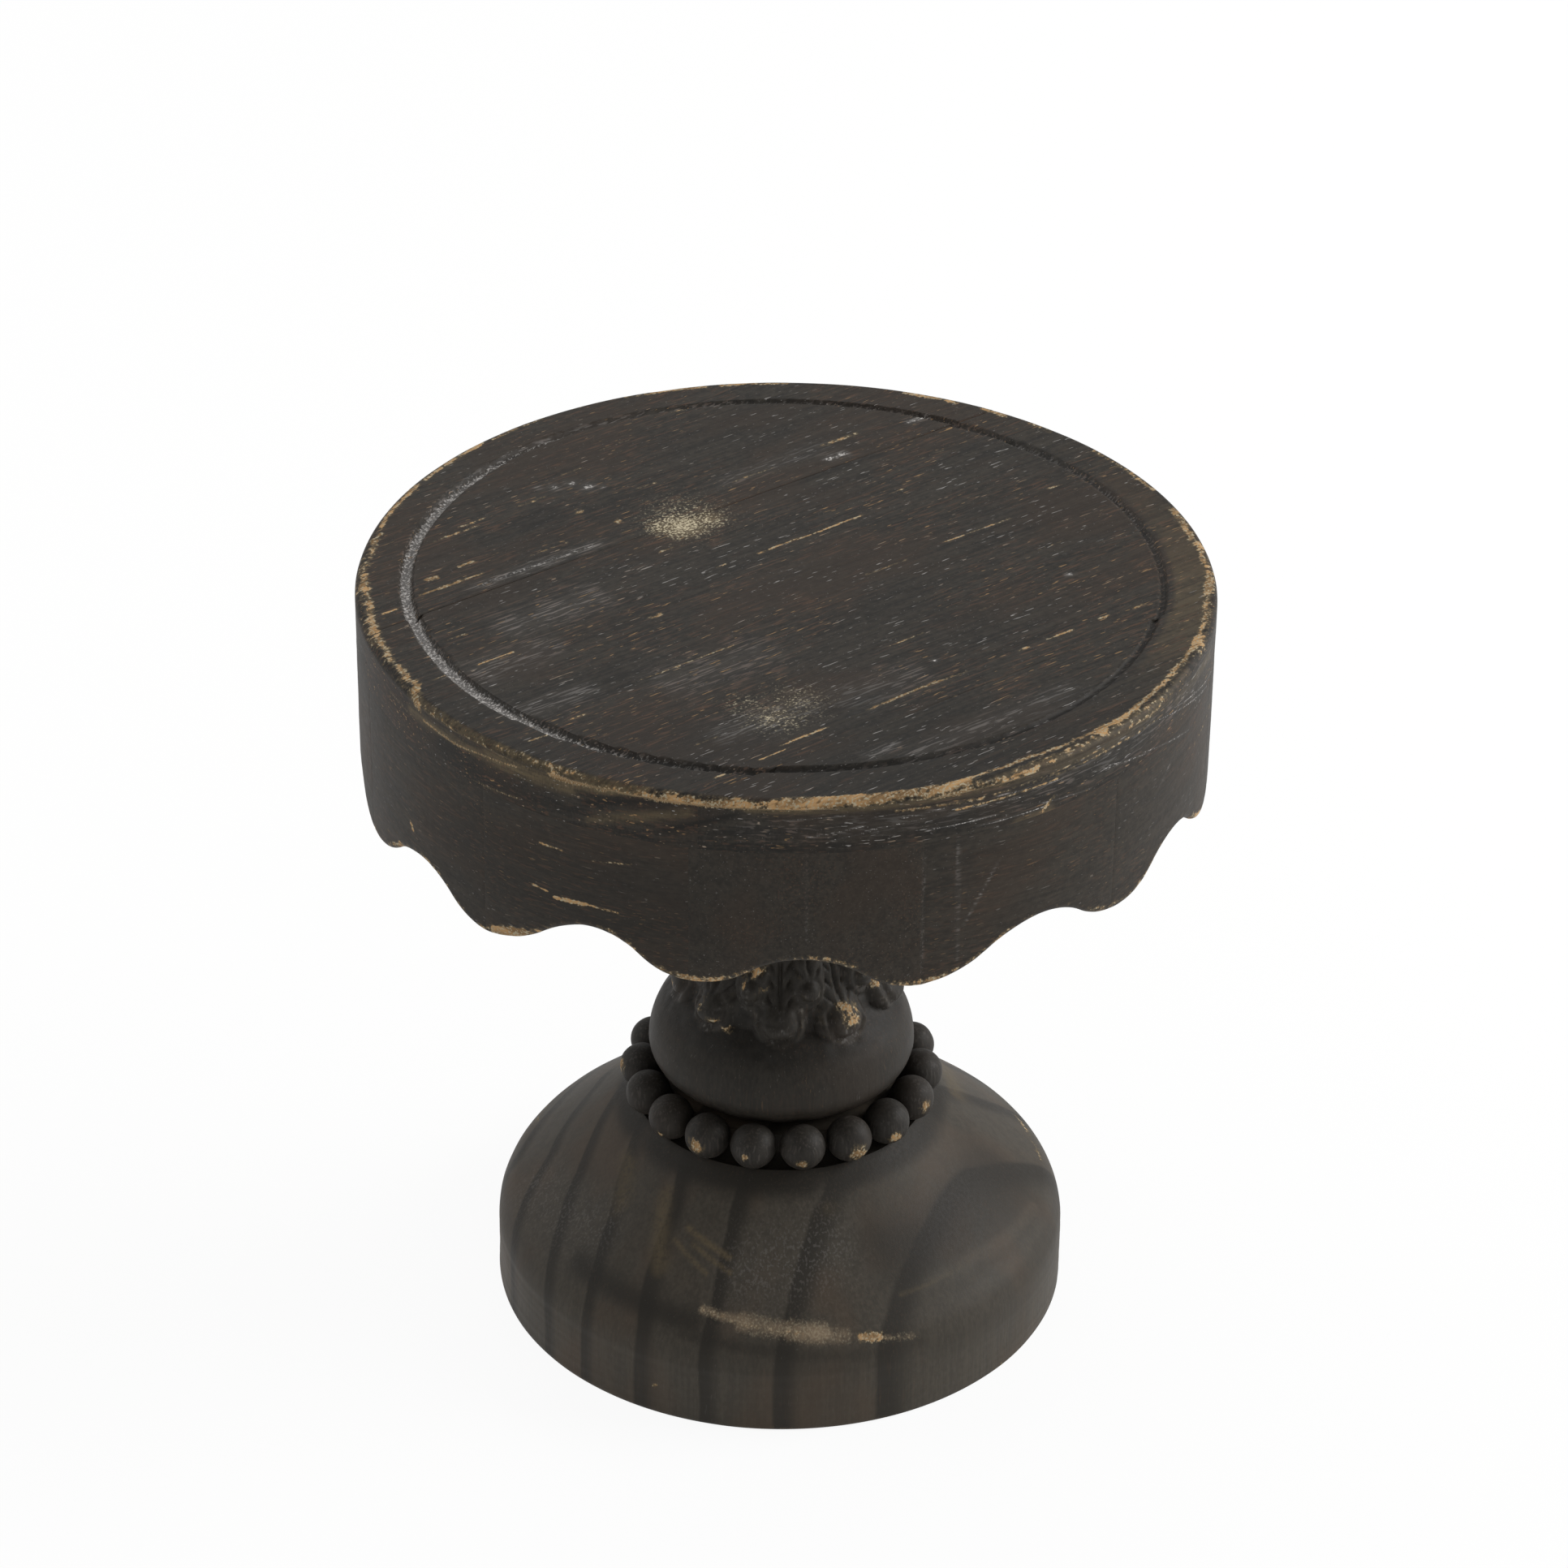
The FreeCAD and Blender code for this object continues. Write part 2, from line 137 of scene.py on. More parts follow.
# Wear on the top, in millimetres: start across and away, length along the grain, half width, strength
TOP_STREAKS = (
    (-52.6, -32, 9, 0.32, 1.0), (-25.6, -37, 25, 0.22, 0.8), (-62.6, 11, 12, 0.35, 0.75),
    (-57.6, 2, 4, 0.45, 0.95), (-64.6, -9, 16, 0.40, 0.95), (-62.6, -3, 3, 0.90, 1.1),
    (-69.6, -15, 4, 0.35, 0.8), (-58.6, -24, 6, 0.30, 0.6), (-59.6, -37, 7, 0.28, 0.6),
    (-42.6, -57, 5, 0.35, 0.8), (-4.6, -62, 7, 0.28, 0.8), (-11.6, -68, 5, 0.30, 0.7),
    (-23.6, -15, 3, 0.70, 0.8), (-37.6, 22, 2, 0.60, 0.8), (-30.6, 19, 2, 0.90, 0.8),
    (-21.6, 61, 4, 0.50, 0.7), (-27.6, 31, 6, 0.35, 0.6), (-41.6, 36, 6, 0.35, 0.5),
    (-10.6, 34, 12, 0.35, 0.6), (-22.6, 8, 4, 0.30, 0.8), (-12.6, 3, 3, 0.30, 0.8),
    (-36.6, -50, 5, 0.30, 0.6), (-6.6, 7, 22, 0.28, 1.0), (3.4, 15, 14, 0.30, 0.9),
    (18.4, 31, 4, 0.28, 0.7), (12.4, 0, 12, 0.26, 0.85), (26.4, 12, 18, 0.26, 0.85),
    (46.4, 33, 4, 0.30, 0.7), (17.4, -24, 9, 0.28, 0.85), (12.4, -46, 25, 0.32, 0.95),
    (-1.6, -58, 12, 0.30, 0.9), (44.4, -21, 7, 0.32, 0.85), (53.4, -14, 3, 0.40, 0.8),
    (59.4, -10, 4, 0.35, 0.9), (39.4, -25, 3, 0.35, 0.7), (30.4, -13, 7, 0.22, 0.5),
    (5.4, 48, 10, 0.60, 0.65), (43.4, 10, 8, 0.24, 0.5), (-34.6, 46, 9, 0.30, 0.65),
    (-48.6, 24, 8, 0.30, 0.75), (-15.6, -58, 6, 0.26, 0.5), (23.4, 44, 7, 0.26, 0.5),
    (-58.6, 16, 7, 0.30, 0.75), (-45.6, 6, 10, 0.28, 0.7),
)
TOP_HAZE = (
    (-56.6, -7, 33, 1.2, 0.66), (-50.6, -21, 26, 4.0, 0.45), (-54.6, -36, 22, 3.5, 0.40),
    (-46.6, -50, 20, 3.0, 0.40), (-22.6, -40, 28, 5.0, 0.30), (-12.6, -56, 24, 3.5, 0.35),
    (7.4, -44, 22, 4.0, 0.28), (6.4, 43, 6, 1.2, 0.80), (21.4, 58, 6, 1.0, 0.85),
    (12.4, -61, 9, 1.2, 0.55), (-14.6, 32, 30, 2.0, 0.30), (17.4, -62, 44, 2.4, 0.35),
)
# Spots on the top, in millimetres: across, away, size, strength
SANDED_SPOTS = (
    (-18, 21, 9, 0.34), (-18.6, 18.4, 4.4, 0.95), (-22, 18, 3.2, 0.72), (-14.2, 20.6, 3.8, 0.60),
    (-1.6, -48, 6.0, 0.34), (1.4, -43, 8.0, 0.25), (-6.6, -44, 5, 0.25),
)
PALE_FLECKS = (
    (49.4, 2.1, 0.7, 1.2), (25.4, -28.4, 0.6, 1.1), (-38.6, 33.5, 1.2, 0.8), (-35.6, 32.3, 1.4, 0.9),
    (-41.6, 31.8, 1.1, 0.8), (-44.6, 31.7, 0.8, 0.7), (-33.1, 32.2, 0.6, 0.9),
)
# Marks along the rim: two angles in degrees, then two offsets on to the face and a half width in
# millimetres, strength
RIM_MARKS = (
    (-59, -55, 1.6, -0.8, 0.9, 1.20), (-56, -44, -0.3, -0.6, 0.30, 0.66),
    (-45, -34, -0.5, -1.0, 0.28, 0.56), (-31, -19, -1.0, -0.7, 0.55, 1.00),
    (-21, -12, -0.7, -0.4, 0.60, 1.05), (-14, 2, -0.6, -0.2, 0.60, 1.15),
    (0, 13, -0.1, 0.1, 0.75, 1.25), (12, 24, 0.1, 0.3, 0.80, 1.20), (22, 36, 0.6, 1.8, 0.45, 1.05),
    (19, 34, -0.7, -0.3, 0.45, 0.85), (27, 45, -2.4, -1.4, 0.32, 0.66), (34, 47, 1.8, 1.2, 0.50, 1.00),
    (33, 44, 0.2, 0.4, 0.34, 0.62), (45, 60, 0.8, 1.3, 0.66, 1.10), (50, 57, -0.4, -0.9, 0.40, 0.62),
    (59, 74, 1.2, 0.9, 0.80, 1.12), (73, 84, 0.5, 1.0, 0.75, 1.05), (84, 93, 0.9, 0.5, 0.90, 0.95),
    (94, 101, 0.6, 0.6, 0.80, 0.95), (102, 111, 1.0, 0.6, 0.85, 1.00), (117, 127, 0.6, 0.6, 0.55, 0.95),
    (128, 131, 0.7, 0.6, 0.55, 0.85), (139, 143, 0.7, 0.6, 0.55, 0.85),
    (147, 151, 1.0, 0.7, 0.60, 0.95), (155, 163, 0.7, 0.6, 0.60, 1.05),
    (180, 190, 0.6, 0.6, 0.45, 0.85), (192, 204, 0.6, 0.6, 0.55, 1.00),
    (-66, -60, 0.9, 0.7, 1.00, 1.00), (-79, -67, 1.2, 0.8, 1.05, 1.00),
    (-90, -80, 0.8, 1.2, 0.95, 0.95), (-101, -91, 1.0, 0.6, 0.90, 0.90),
    (-116, -103, 0.6, 0.6, 0.55, 0.95), (-131, -118, 0.6, 0.6, 0.55, 0.95),
    (-142, -133, 0.6, 0.6, 0.50, 0.85),
)
# Marks on the side: two angles in degrees, then two drops below the top and a half width in millimetres,
# strength. Shades darken above zero and thin the paint below it.
SIDE_STREAKS = (
    (-34.1, -31.6, 24.4, 24.8, 0.24, 0.75), (-30.6, -26, 25.5, 25.0, 0.40, 1.10),
    (-26, -21.5, 25.0, 25.1, 0.26, 0.95), (-32.6, -29.2, 15.7, 15.8, 0.30, 0.80),
    (-25, -19.5, 16.2, 15.0, 0.22, 0.70), (-58, -57.2, 26.6, 27.6, 0.50, 0.75),
    (34.8, 36.4, 9.6, 7.4, 0.42, 0.80), (14, 26, 3.0, 3.4, 0.35, 0.75), (22, 37, 4.6, 4.2, 0.28, 0.75),
    (33, 46, 3.4, 3.2, 0.36, 0.62), (44, 58, 3.0, 3.6, 0.32, 0.52), (-44, -36, 9.2, 8.7, 0.25, 0.60),
    (-63, -58, 4.0, 4.4, 0.35, 0.55), (-54, -46, 3.6, 4.0, 0.35, 0.85),
    (-47, -36, 4.0, 2.6, 0.30, 0.80), (-40.6, -35.4, 36.9, 34.8, 0.9, 1.40),
    (110, 117, 14, 14.6, 0.45, 0.8), (150, 163, 21, 20.4, 0.40, 0.8), (-140, -128, 17, 17.8, 0.45, 0.8),
    (-95, -90, 12, 12.3, 0.40, 0.7), (196, 206, 8.2, 7.8, 0.35, 0.7), (72, 80, 17.5, 17, 0.28, 0.6),
)
SIDE_SCRATCHES = (
    (22.6, 22.8, 10.2, 34.0, 0.26, 0.44), (18.0, 18.1, 12, 35.4, 0.24, 0.28),
    (2.8, 3.0, 10.2, 27.0, 0.25, 0.18), (28.4, 23.6, 16.5, 27.4, 0.20, 0.65),
    (61, 58, 15, 18, 0.20, 0.6), (131, 128, 14, 26, 0.20, 0.6), (0, 8, 3.6, 2.9, 0.15, 0.80),
    (3, 10, 6.9, 5.3, 0.15, 0.78), (6, 14.5, 7.6, 5.4, 0.15, 0.78), (11, 18, 6.0, 5.1, 0.15, 0.82),
    (15, 21, 4.5, 3.7, 0.15, 0.85), (19, 28, 7.5, 7.4, 0.16, 0.88), (22, 33, 4.5, 5.5, 0.15, 0.82),
    (25, 36, 8.6, 8.8, 0.16, 0.88), (28, 38, 3.8, 4.6, 0.15, 0.82), (34.5, 43, 7.9, 9.1, 0.15, 0.80),
    (43, 51.5, 6.0, 8.1, 0.15, 0.82), (46, 55, 6.3, 9.1, 0.15, 0.82), (53.5, 67, 8.2, 12.7, 0.18, 0.80),
    (57, 75, 4.0, 9.9, 0.16, 0.85), (61, 79, 4.4, 9.8, 0.15, 0.82), (100, 114, 4.4, 5.0, 0.20, 0.6),
    (121, 137, 6.2, 5.6, 0.20, 0.6), (166, 180, 4.0, 4.6, 0.20, 0.6), (-146, -132, 6.0, 6.6, 0.20, 0.6),
    (-124, -112, 4.6, 4.2, 0.20, 0.6),
)
SIDE_HAZE = (
    (-4, 30, 5.4, 5.0, 2.2, 0.20), (30, 58, 5.0, 4.6, 2.6, 0.26), (58, 80, 4.0, 3.6, 2.4, 0.26),
    (100, 150, 5, 5, 2.4, 0.2), (-150, -110, 5, 5, 2.4, 0.2), (160, 190, 4, 5, 2.0, 0.2),
)
# The broad darkening from -48 to -14 degrees is painted shade on the front left, and the broad thinning from 64
# to 90 degrees is a painted sheen on the far right; the other marks darken or thin the paint
SIDE_TONES_AND_PAINTED_LIGHT = (
    (-50, -32, 6.6, 8.0, 2.2, 0.45), (-32, -26, 7.4, 7.0, 1.6, 0.45), (-26, -15.6, 5.2, 1.5, 0.8, 0.85),
    (-15, -5.6, 7.2, 2.6, 0.8, 0.80), (-6, 8, 6.4, 4.6, 0.9, 0.40), (-57, -40, 3.6, 3.4, 1.3, -0.70),
    (-41, -28, 3.2, 3.0, 1.7, -0.85), (-29, -18, 2.4, 1.0, 1.2, -0.95),
    (-25.5, -12, 8.2, 3.2, 1.2, -0.60), (-6, 20, 1.9, 1.8, 0.7, -0.60), (20, 60, 1.8, 2.0, 1.0, -0.45),
    (31, 36, 10.4, 10, 1.2, -0.60), (62, 76, 3, 4, 1.6, -0.40), (-48, -14, 22, 24, 11, 0.42),
    (64, 90, 20, 22, 14, -0.26), (-57, -22, 0.6, 0.6, 1.3, -0.60), (28, 66, 0.5, 0.5, 1.2, -0.40),
)
# Wear along the scallop's lower edge: angle from the front in degrees, spread in degrees, strength
SCALLOP_WEAR = (
    (-38, 3.4, 1.5), (-34, 1.6, 0.8), (-11, 7, 1.0), (18.6, 6, 0.9), (6, 6, 0.7), (74, 4, 0.9),
    (-62, 4, 0.9), (46, 4, 0.7), (138, 5, 1.0), (-100, 5, 0.9), (168, 6, 0.9), (-160, 5, 0.9),
)

# Wear on the column: angle from the front in degrees, height, spread round and up in millimetres, strength
COLUMN_WEAR = (
    (-19, 74.6, 2.6, 1.6, 1.3), (40, 65.2, 2.2, 1.7, 1.3), (36, 66.8, 1.6, 0.9, 1.0),
    (-48, 65.6, 0.8, 1.6, 1.0), (-40, 63.8, 1.4, 0.8, 1.0), (-32, 62.4, 1.3, 0.7, 1.0),
    (-12, 71, 1.3, 0.6, 1.0), (-23, 71.6, 0.7, 0.7, 0.9), (66, 67, 1.6, 0.9, 1.1),
    (-112, 66, 1.6, 1.4, 1.1), (104, 66, 1.3, 1.2, 0.9), (158, 65.5, 1.8, 1.4, 1.2),
    (-160, 66, 1.6, 1.3, 1.1), (-82, 63.5, 1.2, 1.0, 0.9), (120, 72, 1.8, 0.9, 1.0),
    (-140, 73, 2.0, 0.9, 1.0),
)
# Wear on the balls: number, degrees round from the ball's outward side, degrees up, spread in degrees,
# strength
BALL_WEAR = (
    (1, -6, -17, 15, 1.15), (2, -1, -14, 23, 1.25), (3, -23, -17, 20, 1.20), (4, -31, 2, 17, 1.15),
    (18, -11, 0, 12, 1.0), (17, -2, -1, 22, 1.20), (16, 22, -23, 10, 0.9), (6, 12, 10, 22, 1.1),
    (8, -20, 16, 20, 1.0), (10, 14, 4, 24, 1.1), (12, -8, 12, 18, 1.0), (14, 16, 8, 22, 1.0),
)
# Marks on the foot: two angles in degrees, then two heights and a half width in millimetres, strength
FOOT_SCUFFS = (
    (-17, -11, 21.4, 20.9, 0.30, 0.90), (-11, -4, 20.6, 20.0, 0.35, 0.75),
    (-2, 5, 19.8, 19.3, 0.4, 0.72), (17.2, 21, 17.9, 17.4, 0.9, 1.15), (21, 29, 17.4, 15.6, 0.5, 0.45),
    (-25.4, -24.8, 5.8, 6.1, 0.45, 0.9), (96, 112, 19.5, 20.6, 0.7, 0.6),
    (176, 205, 20.0, 18.4, 0.9, 0.6), (-126, -108, 18.2, 20.0, 0.7, 0.6),
)
FOOT_SMEARS = (
    (-17, -6, 21.3, 20.6, 0.7, 0.85), (-8, 3, 20.5, 19.8, 1.3, 1.0), (2, 10, 19.9, 19.0, 1.5, 0.95),
    (9, 14, 19.0, 18.4, 1.3, 0.75), (16, 28, 17.9, 16.2, 0.8, 0.55),
)
# The broad darkening from 30 to 78 degrees is a painted shadow of the top on the foot's right side; the other
# marks darken or thin the paint
FOOT_TONES_AND_PAINTED_SHADOW = (
    (-50, -18, 21, 19.6, 2.2, 0.7), (-20, 0, 18.0, 16.6, 1.6, 0.55), (0, 30, 16.0, 14.6, 1.8, 0.45),
    (30, 78, 29, 26, 8.0, 0.66), (34, 84, 13, 11, 5.0, 0.34), (28, 50, 22.0, 22.2, 0.7, -0.50),
    (50, 77, 22.2, 20.4, 0.7, -0.42), (-27, -13, 30.5, 28, 0.5, -0.35),
    (-24, -12, 28.8, 26.2, 0.4, -0.32), (-29, -18, 28.6, 25.6, 0.4, -0.30),
    (-38, -30, 33, 25, 2.2, -0.28), (-62, -50, 36, 30, 2.5, -0.25), (16, 44, 35, 31, 3.0, -0.22),
    (44, 75, 32, 36, 3.0, -0.20), (150, 190, 33, 29, 3.0, -0.25), (210, 240, 28, 32, 2.5, -0.25),
    (100, 130, 34, 30, 2.5, -0.25),
)
FOOT_HAZE = (
    (-8, 14, 27, 29, 5.0, 0.22), (-80, -50, 22, 26, 4.0, 0.18), (140, 200, 26, 28, 4.0, 0.2),
)


class BoardSettings(bpy.types.PropertyGroup):
    """Sizes of the top board."""
    grain_angle: FloatProperty(name="Grain Angle", description="Turn of the planks from the X axis",
                               subtype="ANGLE", default=math.radians(38))
    front_joint: FloatProperty(name="Front Joint", description="Offset of the front joint from the middle",
                               unit="LENGTH", default=49.4 * MM)
    back_joint: FloatProperty(name="Back Joint", description="Offset of the back joint from the middle",
                              unit="LENGTH", default=27.1 * MM)
    rim_rounding: FloatProperty(name="Rim Rounding", description="Radius of the rim's edge",
                                unit="LENGTH", default=1.5 * MM)
    groove_radius: FloatProperty(name="Groove Radius", description="Middle of the ring groove",
                                 unit="LENGTH", default=65.6 * MM)
    groove_width: FloatProperty(name="Groove Width", description="Width of the ring groove",
                                unit="LENGTH", default=2.6 * MM)
    groove_depth: FloatProperty(name="Groove Depth", description="Depth of the ring groove",
                                unit="LENGTH", default=1.2 * MM)
    grain_relief: FloatProperty(name="Grain Relief", description="Depth of the raised grain",
                                unit="LENGTH", default=0.05 * MM)


class ApronSettings(bpy.types.PropertyGroup):
    """Sizes of the scalloped apron."""
    first_joint: FloatProperty(name="First Joint", description="First segment joint right of the front",
                               subtype="ANGLE", default=math.radians(18))
    wall: FloatProperty(name="Wall", description="Thickness of the apron", unit="LENGTH", default=12 * MM)
    scallop_depth: FloatProperty(name="Scallop Depth", description="Height from a lobe to a notch",
                                 unit="LENGTH", default=6.4 * MM)
    edge_rounding: FloatProperty(name="Edge Rounding", description="Radius of the scallop's outer edge",
                                 unit="LENGTH", default=1.2 * MM)


class ColumnSettings(bpy.types.PropertyGroup):
    """Sizes of the turned and carved column."""
    tenon_radius: FloatProperty(name="Tenon Radius", description="Radius of the tenon in the foot",
                                unit="LENGTH", default=9 * MM)
    pilot_radius: FloatProperty(name="Pilot Radius", description="Radius of the screw's hole",
                                unit="LENGTH", default=2.65 * MM)
    pilot_length: FloatProperty(name="Pilot Length", description="Depth of the screw's hole",
                                unit="LENGTH", default=30.15 * MM)
    bun_radius: FloatProperty(name="Bun Radius", description="Widest radius of the bun",
                              unit="LENGTH", default=24.3 * MM)
    bun_lower_half: FloatProperty(name="Bun Lower Half", description="Height of the bun's lower ellipse",
                                  unit="LENGTH", default=10.8 * MM)
    bun_upper_half: FloatProperty(name="Bun Upper Half", description="Height of the bun's upper ellipse",
                                  unit="LENGTH", default=18 * MM)
    bun_seat: FloatProperty(name="Bun Seat", description="Radius of the bun where it sits on the foot",
                            unit="LENGTH", default=16.3 * MM)
    neck_radius: FloatProperty(name="Neck Radius", description="Radius of the neck over the bun",
                               unit="LENGTH", default=14.5 * MM)
    collar_top: FloatProperty(name="Collar Top", description="Height of the leaf collar's upper end",
                              unit="LENGTH", default=82 * MM)
    waist_radius: FloatProperty(name="Waist Radius", description="Smallest radius of the neck",
                                unit="LENGTH", default=11.5 * MM)
    flange_radius: FloatProperty(name="Flange Radius", description="Radius of the flange under the board",
                                 unit="LENGTH", default=26 * MM)
    flange_thickness: FloatProperty(name="Flange Thickness", description="Thickness of that flange",
                                    unit="LENGTH", default=8 * MM)
    leaf_count: IntProperty(name="Leaves", description="Leaves round the collar", default=9, min=3)
    first_leaf: FloatProperty(name="First Leaf", description="Angle of the first leaf from the front",
                              subtype="ANGLE", default=math.radians(-2))
    leaf_tip: FloatProperty(name="Leaf Tip", description="Height of the leaves' lower tips",
                            unit="LENGTH", default=60.6 * MM)
    leaf_half_width: FloatProperty(name="Leaf Half Width", description="Half the width of a leaf",
                                   unit="LENGTH", default=6.2 * MM)
    leaf_reach: FloatProperty(name="Leaf Reach", description="Radius that the leaves' tips reach",
                              unit="LENGTH", default=21.3 * MM)


class FootSettings(bpy.types.PropertyGroup):
    """Sizes of the turned foot."""
    shoulder_height: FloatProperty(name="Shoulder Height", description="Height where wall and cone meet",
                                   unit="LENGTH", default=16.6 * MM)
    shoulder_rounding: FloatProperty(name="Shoulder Rounding", description="Radius of the shoulder",
                                     unit="LENGTH", default=11 * MM)
    toe_rounding: FloatProperty(name="Toe Rounding", description="Radius of the lower edge",
                                unit="LENGTH", default=0.8 * MM)
    cone_top: FloatProperty(name="Cone Top", description="Radius of the cone's upper end",
                            unit="LENGTH", default=22.35 * MM)
    seat_radius: FloatProperty(name="Seat Radius", description="Radius of the ring that the balls sit in",
                               unit="LENGTH", default=25.5 * MM)
    seat_rise: FloatProperty(name="Seat Rise", description="Height of the balls' middles over the foot",
                             unit="LENGTH", default=0.2 * MM)
    seat_section: FloatProperty(name="Seat Section", description="Radius of the groove that the balls sit in",
                                unit="LENGTH", default=4.35 * MM)
    socket_radius: FloatProperty(name="Socket Radius", description="Radius of the tenon's socket",
                                 unit="LENGTH", default=9.15 * MM)
    socket_depth: FloatProperty(name="Socket Depth", description="Depth of the tenon's socket",
                                unit="LENGTH", default=14.5 * MM)
    hole_radius: FloatProperty(name="Hole Radius", description="Radius of the screw's hole",
                               unit="LENGTH", default=2.65 * MM)
    counterbore_radius: FloatProperty(name="Counterbore Radius", description="Radius of the head's hole",
                                      unit="LENGTH", default=7.5 * MM)
    counterbore_depth: FloatProperty(name="Counterbore Depth", description="Depth of the head's hole",
                                     unit="LENGTH", default=14 * MM)


class FinishSettings(bpy.types.PropertyGroup):
    """Colours of the paint and of the wood under it."""
    top_paint: FloatVectorProperty(name="Top Paint", description="Black-brown paint on the top",
                                   subtype="COLOR", default=(0.0214, 0.0181, 0.0140))
    apron_paint: FloatVectorProperty(name="Apron Paint", description="Paint on the apron",
                                     subtype="COLOR", default=(0.0255, 0.0210, 0.0160))
    column_paint: FloatVectorProperty(name="Column Paint", description="Paint on the column",
                                      subtype="COLOR", default=(0.0225, 0.0195, 0.0155))
    bead_paint: FloatVectorProperty(name="Bead Paint", description="Paint on the balls",
                                    subtype="COLOR", default=(0.0215, 0.0187, 0.0153))
    foot_paint: FloatVectorProperty(name="Foot Paint", description="Thin paint on the foot",
                                    subtype="COLOR", default=(0.0500, 0.0430, 0.0332))
    bare_wood: FloatVectorProperty(name="Bare Wood", description="Wood where the paint is rubbed away",
                                   subtype="COLOR", default=(0.35, 0.212, 0.096))
    pale_wood: FloatVectorProperty(name="Pale Wood", description="Wood sanded clean",
                                   subtype="COLOR", default=(0.43, 0.375, 0.26))
    thin_paint: FloatVectorProperty(name="Thin Paint", description="Olive-brown where paint is thin",
                                    subtype="COLOR", default=(0.112, 0.084, 0.046))
    scuffed_paint: FloatVectorProperty(name="Scuffed Paint", description="Grey-tan scuffs on the foot",
                                       subtype="COLOR", default=(0.215, 0.158, 0.102))
    red_grain: FloatVectorProperty(name="Red Grain", description="Stained grain that shows through the paint",
                                   subtype="COLOR", default=(0.105, 0.054, 0.031))
    haze: FloatVectorProperty(name="Haze", description="Pale dust in the grain",
                              subtype="COLOR", default=(0.21, 0.20, 0.19))


class StageSettings(bpy.types.PropertyGroup):
    """Camera, floor and light."""
    target: FloatVectorProperty(name="Target", description="Point that the camera looks at",
                                subtype="TRANSLATION", default=(-0.03 * MM, 0, 104.24 * MM))
    distance: FloatProperty(name="Distance", description="From the camera to the target",
                            unit="LENGTH", default=980 * MM)
    elevation: FloatProperty(name="Elevation", description="Camera's height over the horizon",
                             subtype="ANGLE", default=math.radians(31.33))
    roll: FloatProperty(name="Roll", description="Camera's turn about its own axis",
                        subtype="ANGLE", default=math.radians(0.6))
    lens: FloatProperty(name="Lens", description="Focal length in millimetres", default=126.39)
    floor_colour: FloatVectorProperty(name="Floor", description="Colour of the floor",
                                      subtype="COLOR", default=(0.93, 0.93, 0.92))
    floor_glow: FloatProperty(name="Floor Glow", description="Share of plain white in the floor as seen",
                              subtype="FACTOR", default=0.92)
    sky_strength: FloatProperty(name="Sky", description="Strength of the even light", default=0.55)
    lamp_power: FloatProperty(name="Lamp", description="Power of the large soft lamps", default=9.0)


# Numbers on grids

def smooth_noise(u, v, seed, period=LATTICE):
    """Noise from -1 to 1: random heights on a square lattice, blended between its corners by smooth steps.

    The lattice repeats after the period along u, so a whole turn closes on itself.
    """
    lattice = np.random.default_rng(seed).uniform(-1, 1, (period, LATTICE))
    low_u, low_v = np.floor(u).astype(int), np.floor(v).astype(int)
    part_u, part_v = u - low_u, v - low_v
    part_u, part_v = part_u ** 2 * (3 - 2 * part_u), part_v ** 2 * (3 - 2 * part_v)
    this_u, next_u = low_u % period, (low_u + 1) % period
    this_v, next_v = low_v % LATTICE, (low_v + 1) % LATTICE
    near = lattice[this_u, this_v] * (1 - part_u) + lattice[next_u, this_v] * part_u
    far = lattice[this_u, next_v] * (1 - part_u) + lattice[next_u, next_v] * part_u
    return near * (1 - part_v) + far * part_v


def smooth_step(value, low, high):
    """A share that rises smoothly from 0 at low to 1 at high."""
    share = np.clip((value - low) / (high - low), 0, 1)
    return share ** 2 * (3 - 2 * share)


def bell(value, width):
    """A share that is 1 at zero and fades by exp(-(value / width)^2)."""
    return np.exp(-(value / width) ** 2)


def turn_between(angle, middle):
    """Signed turn from a middle to an angle, within half a turn either way."""
    return (angle - middle + math.pi) % FULL_TURN - math.pi


def from_front(x, y):
    """Angle round the riser from the front, positive to the right."""
    return np.arctan2(x, -y)


def share_round(angle, table):
    """A share read between the rows of a table of angles from the front, in degrees."""
    return np.interp(np.degrees(angle), *table, period=360)


def rim_noise(angle, height, wide, tall, seed):
    """Noise on the riser's side, in lumps about as wide and tall as given in millimetres."""
    return smooth_noise(angle * TOP_RADIUS / (wide * MM), height / (tall * MM), seed)


def turned_noise(angle, height, waves, tall, seed):
    """Noise on a turned piece: waves round a closed turn, in lumps as tall as given in millimetres."""
    return smooth_noise(angle / FULL_TURN * waves, height / (tall * MM), seed, waves)


def spots(across, away, places):
    """The strongest of round spots, each its strength times a bell of the distance."""
    found = np.zeros_like(across)
    for spot_across, spot_away, size, strength in places:
        distance = np.hypot(across / MM - spot_across, away / MM - spot_away)
        found = np.maximum(found, strength * bell(distance, size))
    return found


def streaks(along, across, cosine, sine, places):
    """The strongest of streaks along the grain, which fade by a bell of the offset and taper at both ends."""
    found = np.zeros_like(along)
    for start_x, start_y, length, width, strength in places:
        begin = start_x * cosine + start_y * sine
        offset = across / MM - (start_y * cosine - start_x * sine)
        step = along / MM - begin
        taper = smooth_step(np.minimum(step, length - step), -0.4, 0.15 * length + 0.2)
        found = np.maximum(found, strength * taper * bell(offset, width))
    return found


